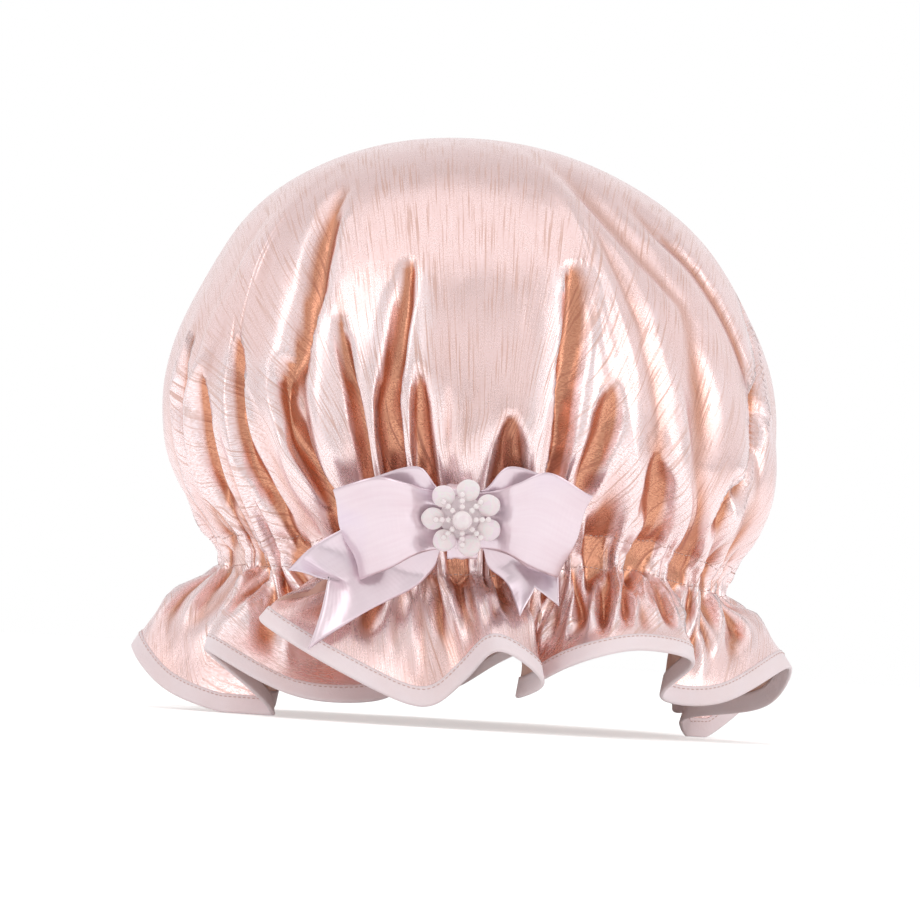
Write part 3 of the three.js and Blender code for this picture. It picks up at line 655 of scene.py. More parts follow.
    def shades(self, sense: Array) -> Array:
        """How deep in a hollow or how high on a ridge each point lies, as the mask for the painted shade in hollows
        and near the casing and for the painted highlight on ridges.

        Args:
            sense: outward directions of the cloth before its fine detail.

        Returns:
            From -1 on a ridge to 1 in a hollow, for each point.
        """
        lower = ((blurred(self.grid, 8, 1) - self.grid) * sense).sum(axis=-1)
        lower[:self.crown_rings] = self.crown_hollows()
        away = np.maximum(np.abs(self.arcs - self.neck_arc) - self.form.casing_width / 2, 0)
        gathered = np.exp(-away / 14)[:, None]
        below = smooth((self.arcs - self.neck_arc) / 12)[:, None]
        depth = mix(self.hollow_depth, self.gathered_depth, np.maximum(gathered, .7 * below))
        # Near the gathered casing the mask adds more painted shade.
        return np.clip(lower / depth + self.gathered_shade * gathered, -1, 1)

    def crown_hollows(self, step: float = .5) -> Array:
        """How far each point of the crown lies under its neighbours on both sides.

        Args:
            step: spacing in degrees at which a ring is read.

        Returns:
            A distance in millimetres by ring and column.
        """
        even = np.arange(0, TURN, step)
        found = []
        for ring in self.grid[:self.crown_rings]:
            angles, radius = self.form.around(ring)
            profile = np.interp(even, angles, radius, period=TURN)
            reach = min(60, round(self.hollow_reach / (float(radius.mean()) * math.radians(step))))
            found.append(np.interp(angles, even, blurred(profile, reach), period=TURN) - radius)
        return np.array(found)

    def even(self, normals: Array) -> Array:
        """Normals that change a little less sharply from column to column."""
        return unit(np.roll(normals, 1, axis=1) + 2 * normals + np.roll(normals, -1, axis=1))

    def detail(self, grid: Array) -> Array:
        """How far gathers, creases, crumples and puckers move the cloth outward.

        Args:
            grid: points by ring and column.

        Returns:
            A distance in millimetres for each point.
        """
        form, turns, arcs = self.form, self.turns[None, :], self.arcs[:, None]
        above = np.maximum(self.neck_arc - form.casing_width / 2 - arcs, 0)
        below = np.maximum(arcs - self.neck_arc - form.casing_width / 2, 0)
        free = 1 - smooth((self.shares[:, None] - .5) / .5)
        dome = smooth((form.top_height - self.heights[:, None]) / 60)
        moved = 1.2 * ripples(turns, arcs, seed=5, around=(2, 6), upward=1.2, count=8) * dome * smooth(above / 30)
        moved = moved + WIDE_GATHERS.lift(turns, arcs, above, below) * free
        moved = moved + FINE_GATHERS.lift(turns, arcs, above, below) * free
        moved = moved + TINY_GATHERS.lift(turns, arcs, above, below)
        for seed, waves, upward, depth, reach in ((13, (14, 40), 1.3, 1.5, 12), (17, (30, 80), 2.2, .5, 8)):
            facets = 1 - 2 * np.abs(ripples(turns, arcs, seed, waves, upward, 9))
            moved = moved + depth * facets * smooth(below / reach) * free
        crumple = (ripples(turns, arcs, seed=31, around=(26, 70), upward=2.2, count=14) * .12
                   + ripples(turns, arcs, seed=32, around=(60, 110), upward=5, count=12) * .04)
        moved = moved + crumple * dome * smooth((self.heights[0] - self.heights[:, None]) / 80) * free
        moved = moved - 2.4 * np.exp(-((above + below) / 16) ** 2)
        for row in self.casing:
            moved = moved - .6 * np.exp(-((arcs - self.arcs[row]) / 1.7) ** 2)
        radius = np.hypot(grid[..., 0], grid[..., 1])
        pressed = np.zeros(grid.shape[:2])
        crown = self.crown_rings
        for crease in CREASES:
            pressed[:crown] += crease.press(self.angles, self.heights[:crown, None], radius[:crown])
        moved = moved - pressed * smooth(above / 22)
        # The elastic holds the casing out to its own width.
        kept = self.elastic_outer + self.thickness + .5
        sewn = np.exp(-((above + below) / 7) ** 2)
        return np.maximum(moved, mix(-30.0, kept - form.around(grid)[1], sewn ** .25))

    def flat(self) -> Array:
        """Coordinates on the flat cloth by ring and column."""
        turn, arcs = np.radians(self.angles[0])[None, :], self.arcs[:, None] / FLAT_UNIT
        return np.stack(np.broadcast_arrays(arcs * np.sin(turn), -arcs * np.cos(turn)), axis=-1)


def stitch_rings(upper: Array, lower: Array) -> list[tuple[int, ...]]:
    """Faces between two closed rings, one of which may hold twice as many points.

    Args:
        upper: point numbers of the upper ring.
        lower: point numbers of the lower ring.

    Returns:
        Faces that point away from the middle.
    """
    faces, n, ratio = [], len(upper), len(lower) // len(upper)
    for i in range(n):
        a, b = upper[i], upper[(i + 1) % n]
        if ratio == 1:
            faces.append((a, lower[i], lower[(i + 1) % n], b))
        else:
            c, d, e = lower[2 * i], lower[2 * i + 1], lower[(2 * i + 2) % (2 * n)]
            faces += [(a, c, d), (a, d, b), (b, d, e)]
    return [tuple(int(v) for v in face) for face in faces]


def ring_faces(rings: int, sides: int, start: int = 0, closed: bool = True,
               turned: bool = False) -> list[tuple[int, int, int, int]]:
    """Faces between neighbouring rings of points that all have as many points.

    Args:
        rings: how many rings there are.
        sides: how many points each has.
        start: number of the first point.
        closed: whether the last ring joins the first.
        turned: whether the faces look to the other side.

    Returns:
        The faces by point number.
    """
    faces = []
    for n in range(rings if closed else rings - 1):
        a, b = start + n * sides, start + (n + 1) % rings * sides
        for k in range(sides):
            ahead = (k + 1) % sides
            faces.append((a + k, a + ahead, b + ahead, b + k) if turned else (a + k, b + k, b + ahead, a + ahead))
    return faces


def bead_faces(rings: int, sides: int) -> list[tuple[int, ...]]:
    """Faces of a closed form whose rings of points lie between two end points.

    Args:
        rings: how many rings there are.
        sides: how many points each has.

    Returns:
        The faces by point number.
    """
    last, end = 1 + (rings - 1) * sides, 1 + rings * sides
    tip = [(0, 1 + k, 1 + (k + 1) % sides) for k in range(sides)]
    return tip + ring_faces(rings, sides, 1, False) + [(last + k, end, last + (k + 1) % sides) for k in range(sides)]


def strip_places(along: Array, across: Array) -> Array:
    """Coordinates on a flat strip, one for each point, from millimetres along and across it."""
    grid = np.stack(np.broadcast_arrays(along[:, None], across[None, :]), axis=-1)
    return grid.reshape(-1, 2) / FLAT_UNIT


@dataclass
class MeshKit:
    """Turns points in millimetres into finished objects in the solids' frame."""

    shift: Array

    def make(self, name: str, points: Array, faces: Sequence[Sequence[int]], material: bpy.types.Material,
             flat: Array | None = None, edges: Sequence[tuple[int, int]] = (),
             fold_shade_mask: Array | None = None) -> bpy.types.Object:
        """One object from points and faces.

        Args:
            name: the piece's name.
            points: its points in millimetres, upright.
            faces: its faces by point number.
            material: its finish.
            flat: coordinates on the flat cloth, one for each point.
            edges: edges of a path without faces.
            fold_shade_mask: from -1 on a ridge to 1 in a hollow, one for each point.

        Returns:
            The new object, linked to the scene.
        """
        mesh = bpy.data.meshes.new(name)
        place = (np.asarray(points, dtype=float) + self.shift) * MM
        mesh.from_pydata([tuple(p) for p in place], [tuple(e) for e in edges], [tuple(f) for f in faces])
        if flat is not None:
            layer = mesh.uv_layers.new(name="flat")
            corners = np.empty(len(mesh.loops), dtype=np.int32)
            mesh.loops.foreach_get("vertex_index", corners)
            layer.data.foreach_set("uv", np.asarray(flat)[corners].astype(np.float32).ravel())
        # The hollow attribute carries the mask of the painted shade in hollows and of the painted highlight on ridges.
        if fold_shade_mask is not None:
            mesh.attributes.new("hollow", "FLOAT", "POINT").data.foreach_set("value", fold_shade_mask.astype(np.float32))
        mesh.polygons.foreach_set("use_smooth", [True] * len(mesh.polygons))
        mesh.materials.append(material)
        mesh.update()
        piece = bpy.data.objects.new(name, mesh)
        bpy.context.scene.collection.objects.link(piece)
        return piece

    def grow(self, seed: bpy.types.Object, tree: bpy.types.NodeTree, values: dict[str, object]) -> bpy.types.Object:
        """Runs a node tree on a seed mesh and keeps its result as a plain mesh.

        Args:
            seed: the mesh that the tree starts from.
            tree: the geometry node tree.
            values: the tree's inputs by their shown names.

        Returns:
            The same object with the result as its mesh and no modifier.
        """
        grower = seed.modifiers.new("grow", "NODES")
        grower.node_group = tree
        sockets = {item.name: item.identifier for item in tree.interface.items_tree if item.item_type == "SOCKET"}
        for name, value in values.items():
            grower[sockets[name]] = value
        seed.update_tag()
        graph = bpy.context.evaluated_depsgraph_get()
        mesh = bpy.data.meshes.new_from_object(seed.evaluated_get(graph), depsgraph=graph)
        old, seed.data = seed.data, mesh
        seed.modifiers.clear()
        bpy.data.meshes.remove(old)
        mesh.polygons.foreach_set("use_smooth", [True] * len(mesh.polygons))
        return seed


class Tree:
    """A short way to write a node tree."""

    def __init__(self, tree: bpy.types.NodeTree) -> None:
        """Keeps the tree that nodes are added to."""
        self.tree = tree

    def node(self, kind: str, inputs: dict[object, object] | None = None, **settings: object) -> bpy.types.Node:
        """Adds a node.

        Args:
            kind: the node's type name.
            inputs: values or output sockets by input name or number.
            settings: the node's own properties.

        Returns:
            The new node.
        """
        node = self.tree.nodes.new(kind)
        for name, value in settings.items():
            setattr(node, name, value)
        for name, value in (inputs or {}).items():
            if isinstance(value, Socket):
                self.tree.links.new(value, node.inputs[name])
            else:
                node.inputs[name].default_value = value
        return node

    def sums(self, kind: str, first: object, second: object) -> Socket:
        """One sum of two values."""
        return self.node("ShaderNodeMath", {0: first, 1: second}, operation=kind).outputs[0]

    def span(self, value: Socket, low: object, high: object, start: float = 0.0, end: float = 1.0,
             **settings: object) -> Socket:
        """Maps a value to another span, held at its ends.

        Args:
            value: the value that is mapped.
            low: what it becomes at its start.
            high: what it becomes at its end.
            start: where it starts.
            end: where it ends.
            settings: the node's own properties.

        Returns:
            The mapped value.
        """
        return self.node("ShaderNodeMapRange", {0: value, 1: start, 2: end, 3: low, 4: high}, **settings).outputs[0]


class PathTree(Tree):
    """A geometry node tree that grows something along a path, with named inputs."""

    def __init__(self, name: str, sizes: Sequence[str], result: str) -> None:
        """Makes the tree's inputs and output.

        Args:
            name: the tree's name.
            sizes: names of the inputs that are sizes.
            result: name of the output.
        """
        super().__init__(bpy.data.node_groups.new(name, "GeometryNodeTree"))
        face = self.tree.interface
        face.new_socket("Path", in_out="INPUT", socket_type="NodeSocketGeometry")
        for size in sizes:
            face.new_socket(size, in_out="INPUT", socket_type="NodeSocketFloat")
        face.new_socket("Finish", in_out="INPUT", socket_type="NodeSocketMaterial")
        face.new_socket(result, in_out="OUTPUT", socket_type="NodeSocketGeometry")
        self.given = self.node("NodeGroupInput").outputs
        self.out = self.node("NodeGroupOutput")

    def real(self, laid: Socket) -> Socket:
        """Instances made into real geometry."""
        return self.node("GeometryNodeRealizeInstances", {0: laid}).outputs[0]

    def finish(self, laid: Socket) -> None:
        """Makes what was laid real, dresses it and gives it out."""
        dressed = self.node("GeometryNodeSetMaterial", {"Geometry": self.real(laid), "Material": self.given["Finish"]})
        self.tree.links.new(dressed.outputs[0], self.out.inputs[0])


class StitchTree(PathTree):
    """Geometry nodes that lay raised stitches at an even pitch along a path."""

    def __init__(self) -> None:
        """Builds the tree once."""
        super().__init__("stitch_row", ("Pitch", "Stitch length", "Thread width"), "Stitches")
        curve = self.node("GeometryNodeMeshToCurve", {"Mesh": self.given["Path"]})
        even = self.node("GeometryNodeResampleCurve", {"Curve": curve.outputs[0], "Length": self.given["Pitch"]},
                         mode="LENGTH")
        tangent = self.node("GeometryNodeInputTangent")
        turned = self.node("FunctionNodeAlignRotationToVector", {"Vector": tangent.outputs[0]}, axis="X")
        bead = self.node("GeometryNodeMeshUVSphere", {"Segments": 6, "Rings": 5, "Radius": .5})
        size = self.node("ShaderNodeCombineXYZ", {0: self.given["Stitch length"], 1: self.given["Thread width"],
                                                  2: self.given["Thread width"]})
        laid = self.node("GeometryNodeInstanceOnPoints", {"Points": even.outputs[0], "Instance": bead.outputs[0],
                                                          "Rotation": turned.outputs[0], "Scale": size.outputs[0]})
        self.finish(laid.outputs[0])


class StrandTree(PathTree):
    """Geometry nodes that thread round beads on a straight strand."""

    def __init__(self) -> None:
        """Builds the tree once."""
        super().__init__("pearl_strand", ("Bead width", "Thread width"), "Strand")
        bead = self.node("GeometryNodeMeshUVSphere", {"Segments": 14, "Rings": 8,
                                                      "Radius": self.sums("MULTIPLY", self.given["Bead width"], .5)})
        beads = self.node("GeometryNodeInstanceOnPoints", {"Points": self.given["Path"], "Instance": bead.outputs[0]})
        curve = self.node("GeometryNodeMeshToCurve", {"Mesh": self.given["Path"]})
        ring = self.node("GeometryNodeCurvePrimitiveCircle", {
            "Resolution": 6, "Radius": self.sums("MULTIPLY", self.given["Thread width"], .5)})
        thread = self.node("GeometryNodeCurveToMesh", {0: curve.outputs[0], 1: ring.outputs[0], "Fill Caps": True})
        both = self.node("GeometryNodeJoinGeometry")
        self.tree.links.new(self.real(beads.outputs[0]), both.inputs[0])
        self.tree.links.new(thread.outputs[0], both.inputs[0])
        self.finish(both.outputs[0])


class Paint(Tree):
    """A new material and short ways to write its nodes."""

    def __init__(self, name: str) -> None:
        """Starts the material with an empty tree and its surface shader.

        Args:
            name: the material's name.
        """
        self.material = bpy.data.materials.new(name)
        self.material.use_nodes = True
        super().__init__(self.material.node_tree)
        self.tree.nodes.clear()
        self.shader = self.node("ShaderNodeBsdfPrincipled")
        out = self.node("ShaderNodeOutputMaterial")
        self.tree.links.new(self.shader.outputs[0], out.inputs["Surface"])

    def place(self, layer: str | None = "flat", scale: Sequence[float] = (1, 1, 1)) -> Socket:
        """Coordinates on the flat cloth, or in the object's own space where there is no layer.

        Args:
            layer: the layer of flat coordinates.
            scale: how many times each coordinate is stretched.

        Returns:
            The coordinates.
        """
        if layer is None:
            source = self.node("ShaderNodeTexCoord").outputs["Object"]
        else:
            source = self.node("ShaderNodeUVMap", uv_map=layer).outputs[0]
        return self.node("ShaderNodeMapping", {"Vector": source, "Scale": scale}).outputs[0]

    def near(self) -> Socket:
        """The object's own space in millimetres."""
        return self.place(None, (1 / MM, 1 / MM, 1 / MM))

    def noise(self, place: Socket, scale: float, detail: float = 3, rough: float = .5,
              twist: float = 0.0) -> Socket:
        """A noise pattern.

        Args:
            place: the coordinates that it follows.
            scale: how fine it is.
            detail: how many finer layers it has.
            rough: how strong these are.
            twist: how much it is bent.

        Returns:
            Its value.
        """
        return self.node("ShaderNodeTexNoise", {"Vector": place, "Scale": scale, "Detail": detail,
                                                "Roughness": rough, "Distortion": twist}).outputs["Fac"]

    def ramp(self, value: Socket, stops: Sequence[tuple[float, Sequence[float]]]) -> Socket:
        """Colours along a value.

        Args:
            value: where along the band.
            stops: each stop's position and colour.

        Returns:
            The colour.
        """
        node = self.node("ShaderNodeValToRGB", {0: value})
        band = node.color_ramp
        while len(band.elements) < len(stops):
            band.elements.new(1.0)
        for element, (position, colour) in zip(band.elements, stops):
            element.position = position
            element.color = (*colour, 1)
        return node.outputs[0]

    def blend(self, share: object, first: object, second: object) -> Socket:
        """Two colours blended.

        Args:
            share: how much there is of the second.
            first: a colour or a socket.
            second: another.

        Returns:
            The blended colour.
        """
        node = self.node("ShaderNodeMix", data_type="RGBA")
        for number, value in ((0, share), (6, first), (7, second)):
            if isinstance(value, Socket):
                self.tree.links.new(value, node.inputs[number])
            elif number:
                node.inputs[number].default_value = (*value, 1)
            else:
                node.inputs[number].default_value = value
        return node.outputs[2]

    def bumps(self, layers: Sequence[tuple[Socket, object, float]]) -> None:
        """Raises patterns on the surface, one on the other.

        Args:
            layers: each one's height, strength and distance in metres.
        """
        last = None
        for height, strength, distance in layers:
            inputs = {"Height": height, "Strength": strength, "Distance": distance}
            if last is not None:
                inputs["Normal"] = last
            last = self.node("ShaderNodeBump", inputs).outputs[0]
        self.tree.links.new(last, self.shader.inputs["Normal"])

    def set(self, **values: object) -> None:
        """Sets or links the shader's sockets.

        Args:
            values: values or sockets by the socket's name, with an underscore for a space.
        """
        for name, value in values.items():
            socket = self.shader.inputs[name.replace("_", " ")]
            if isinstance(value, Socket):
                self.tree.links.new(value, socket)
            else:
                socket.default_value = (*value, 1) if isinstance(value, tuple) else value


def tone(red: int, green: int, blue: int) -> Colour:
    """A colour written as it shows on a screen.

    Args:
        red: its red, from 0 to 255.
        green: its green.
        blue: its blue.

    Returns:
        The colour as the shaders count it.
    """
    share = np.array([red, green, blue]) / 255
    light = np.where(share <= .04045, share / 12.92, ((share + .055) / 1.055) ** 2.4)
    return tuple(float(v) for v in light)


@dataclass(frozen=True)
class LameFinish:
    """Crinkled metallic cloth with a fine mesh ground and pin stripes along its straight grain, with painted shade in
    its folds and a painted highlight on its ridges.
    """

    foil: Colour = tone(243, 215, 213)
    # Paler foil on the ridges: a painted highlight.
    painted_highlight_foil: Colour = tone(251, 238, 240)
    ground: Colour = tone(229, 190, 177)
    pale_ground: Colour = tone(233, 196, 184)
    # Browner foil and ground deep in folds and near the casing: painted shade.
    painted_shade_foil: Colour = tone(212, 150, 120)
    painted_shade_ground: Colour = tone(180, 106, 74)
    dash: Colour = tone(190, 132, 110)
    coat: float = .2

    def paint(self, p: Paint) -> None:
        """Lays out the finish.

        Args:
            p: its new material.
        """
        flat = p.place()
        cords = p.noise(p.place("flat", (1, .035, 1)), 58, 2, .6)
        dashes = p.noise(p.place("flat", (1, .03, 1)), 105, 2, .5)
        breaks = p.noise(p.place("flat", (1, .3, 1)), 10, 3, .6)
        mesh = p.noise(p.place("flat", (1, .7, 1)), 190, 2, .6)
        patches = p.noise(flat, 2.4, 3, .5)
        mottle = p.noise(flat, 10, 4, .55)
        level = p.node("ShaderNodeAttribute", attribute_name="hollow").outputs["Fac"]
        beside = p.sums("ABSOLUTE", p.node("ShaderNodeSeparateXYZ", {0: flat}).outputs[0], 0.0)
        facing = p.span(beside, 1, .3, .8, 1.5)
        # The hollow attribute places the painted shade in folds and near the casing, and the painted highlight on
        # ridges.
        hollow = p.span(level, 0, 1, .04, .75)
        ridge = p.span(level, 0, .7, -.08, -.7)
        shown = p.span(breaks, .3, 1, .38, .58)
        bright = p.sums("MULTIPLY", p.span(cords, 0, 1, .52, .6), shown)
        dark = p.sums("MULTIPLY", p.span(dashes, 0, 1, .54, .62), shown)
        foil = p.sums("MAXIMUM", p.span(mesh, .45, 1, .38, .56), bright)
        foil = p.sums("MULTIPLY", foil, p.span(dark, 1, .2))
        # Painted shade: ground and foil turn brown in hollows. Painted highlight: the foil pales on ridges.
        ground = p.blend(hollow, p.ramp(patches, [(.3, self.ground), (.7, self.pale_ground)]), self.painted_shade_ground)
        thread = p.blend(hollow, p.blend(ridge, self.foil, self.painted_highlight_foil), self.painted_shade_foil)
        cloth = p.blend(foil, ground, thread)
        cloth = p.blend(p.sums("MULTIPLY", p.sums("MULTIPLY", dark, .26), facing), cloth, self.dash)
        p.set(Base_Color=cloth, Metallic=p.span(foil, .15, .95),
              Roughness=p.span(mottle, .2, .33, .3, .7), Coat_Weight=self.coat, Coat_Roughness=.3,
              Coat_Tint=(.96, .93, 1.0), Sheen_Weight=.12, Sheen_Roughness=.4, Sheen_Tint=(.93, .9, 1.0))
        p.bumps([(cords, p.sums("MULTIPLY", facing, .5), .0002), (dashes, p.sums("MULTIPLY", facing, .4), .0001),
                 (mottle, .18, .0009), (mesh, .45, .0001)])


@dataclass(frozen=True)
class LiningFinish:
    """The thin, slightly shiny film inside the cap."""

    colour: Colour = tone(228, 181, 162)
    pale: Colour = tone(238, 205, 192)

    def paint(self, p: Paint) -> None:
        """Lays out the finish.

        Args:
            p: its new material.
        """
        flat = p.place()
        soft = p.noise(flat, 7, 4, .6)
        mesh = p.noise(flat, 180, 2)
        p.set(Base_Color=p.blend(soft, self.colour, self.pale), Roughness=p.span(soft, .42, .6),
              Metallic=.15, Coat_Weight=.1)
        p.bumps([(soft, .4, .0015), (mesh, .3, .0002)])


@dataclass(frozen=True)
class TapeFinish:
    """The woven tape that binds the hem."""

    colour: Colour = tone(253, 243, 248)
    warm: Colour = tone(248, 226, 225)

    def paint(self, p: Paint) -> None:
        """Lays out the finish.

        Args:
            p: its new material.
        """
        flat = p.place()
        soft = p.noise(flat, 5, 3)
        across = p.noise(p.place("flat", (.4, 1, 1)), 120, 2)
        along = p.noise(p.place("flat", (1, .4, 1)), 120, 2)
        weave = p.sums("MULTIPLY", across, along)
        p.set(Base_Color=p.blend(soft, self.colour, self.warm), Roughness=p.span(weave, .5, .72, .1, .4),
              Sheen_Weight=.15, Sheen_Roughness=.5)
        p.bumps([(soft, .25, .0008), (weave, .5, .0004)])


@dataclass(frozen=True)
class SatinFinish:
    """Pale satin ribbon with its fine ribs and a painted sheen of paler streaks across its width."""

    # The paler colour of the streaks: a painted sheen.
    painted_sheen_streaks: Colour = tone(246, 233, 239)
    woven_edge: Colour = tone(222, 198, 208)

    def paint(self, p: Paint) -> None:
        """Lays out the finish.

        Args:
            p: its new material.
        """
        flat = p.place()
        streak = p.noise(p.place("flat", (.5, 7, 1)), 9, 2, .5)
        rib = p.node("ShaderNodeTexWave", {"Vector": flat, "Scale": 16, "Distortion": .6, "Detail": 1},
                     bands_direction="X").outputs["Fac"]
        cloud = p.noise(flat, 3.0, 2)
        tint = p.ramp(cloud, [(.3, tone(233, 212, 220)), (.55, tone(235, 217, 225)), (.75, tone(230, 213, 228))])
        across = p.node("ShaderNodeSeparateXYZ", {0: flat}).outputs[1]
        selvedge = p.span(p.sums("ABSOLUTE", across, 0.0), 0, .55, .176, .182)
        # Painted sheen: the tint pales along the streaks.
        painted_sheen = p.blend(p.span(streak, 0, .2, .35, .65), tint, self.painted_sheen_streaks)
        p.set(Base_Color=p.blend(selvedge, painted_sheen, self.woven_edge),
              Roughness=p.span(streak, .18, .26), Metallic=.5, Sheen_Weight=.12, Coat_Weight=.1, Anisotropic=.5)
        p.bumps([(cloud, .3, .002), (rib, .06, .0002)])


@dataclass(frozen=True)
class ThreadFinish:
    """Twisted sewing thread."""

    dark: Colour = tone(206, 168, 158)
    pale: Colour = tone(230, 202, 196)

    def paint(self, p: Paint) -> None:
        """Lays out the finish.

        Args:
            p: its new material.
        """
        twist = p.noise(p.near(), 1.6, 2)
        p.set(Base_Color=p.blend(twist, self.dark, self.pale), Roughness=p.span(twist, .5, .7), Sheen_Weight=.2)
        p.bumps([(twist, .5, .0002)])


@dataclass(frozen=True)
class PearlFinish:
    """Off-white moulded pearl with a faint pink glow."""

    glow: Colour = tone(240, 214, 220)

    def paint(self, p: Paint) -> None:
        """Lays out the finish.

        Args:
            p: its new material.
        """
        near = p.near()
        cloud = p.noise(near, .35, 3)
        body = p.ramp(cloud, [(.3, tone(252, 236, 240)), (.6, tone(253, 243, 242)), (.8, tone(245, 242, 242))])
        p.set(Base_Color=p.blend(p.span(cloud, .35, 0, .3, .5), body, self.glow),
              Roughness=p.span(cloud, .14, .26), Sheen_Weight=.15, Coat_Weight=.6, Coat_Roughness=.08,
              Specular_IOR_Level=.6)
        p.bumps([(p.noise(near, 1.5, 2), .05, .0001)])


@dataclass(frozen=True)
class ShellFinish:
    """Thin mother-of-pearl with drifting pale colours."""

    rings: Colour = tone(246, 226, 230)

    def paint(self, p: Paint) -> None:
        """Lays out the finish.

        Args:
            p: its new material.
        """
        near = p.near()
        drift = p.noise(near, .16, 4, .6, 1.2)
        rings = p.noise(p.place(None, (300, 1000, 1600)), .9, 3, .6, .6)
        body = p.ramp(drift, [(.28, tone(255, 235, 240)), (.45, tone(255, 242, 242)), (.52, tone(250, 246, 244)),
                              (.58, tone(255, 238, 244)), (.85, tone(252, 235, 249))])
        p.set(Base_Color=p.blend(p.span(rings, 0, .2, .4, .7), body, self.rings),
              Roughness=p.span(rings, .15, .3), Coat_Weight=.4, Coat_Roughness=.1)
        p.bumps([(rings, .25, .0004)])


@dataclass(frozen=True)
class PlainFinish:
    """A matt cloth or rubber with its own grain."""

    colour: Colour
    second: Colour
    grain: float = .9
    rough: float = .8

    def paint(self, p: Paint) -> None:
        """Lays out the finish.

        Args:
            p: its new material.
        """
        grain = p.noise(p.near(), self.grain, 4, .65)
        p.set(Base_Color=p.blend(grain, self.colour, self.second),
              Roughness=p.span(grain, self.rough - .12, self.rough), Sheen_Weight=.1)
        p.bumps([(grain, .5, .0004)])


@dataclass
class Wardrobe:
    """All finishes, made once and given out by slot."""

    made: dict[Slot, bpy.types.Material] = field(default_factory=dict)

    def fill(self) -> None:
        """Makes every finish."""
        finishes = {
            Slot.LAME: LameFinish(), Slot.LINING: LiningFinish(), Slot.BINDING: TapeFinish(),
            Slot.SATIN: SatinFinish(), Slot.THREAD: ThreadFinish(), Slot.PEARL: PearlFinish(),
            Slot.SHELL: ShellFinish(),
            Slot.ELASTIC: PlainFinish(tone(240, 236, 234), tone(226, 222, 220), grain=1.4, rough=.7),
            Slot.FELT: PlainFinish(tone(254, 244, 246), tone(248, 234, 238), grain=2.2, rough=.95),
        }
        for slot, finish in finishes.items():
            paint = Paint(slot.value)
            finish.paint(paint)
            self.made[slot] = paint.material

    def dress(self, piece: bpy.types.Object, node: str, slot: Slot) -> bpy.types.Object:
        """Hides the solid that a piece stands for, logs its slot and makes it ride on the cap's one body.

        Args:
            piece: the finished piece.
            node: the solid's name.
            slot: the piece's finish.

        Returns:
            The piece.
        """
        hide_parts(node)
        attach(piece, "root")
        log.info("%s: %d faces, %s", piece.name, len(piece.data.polygons), slot.value)
        return piece


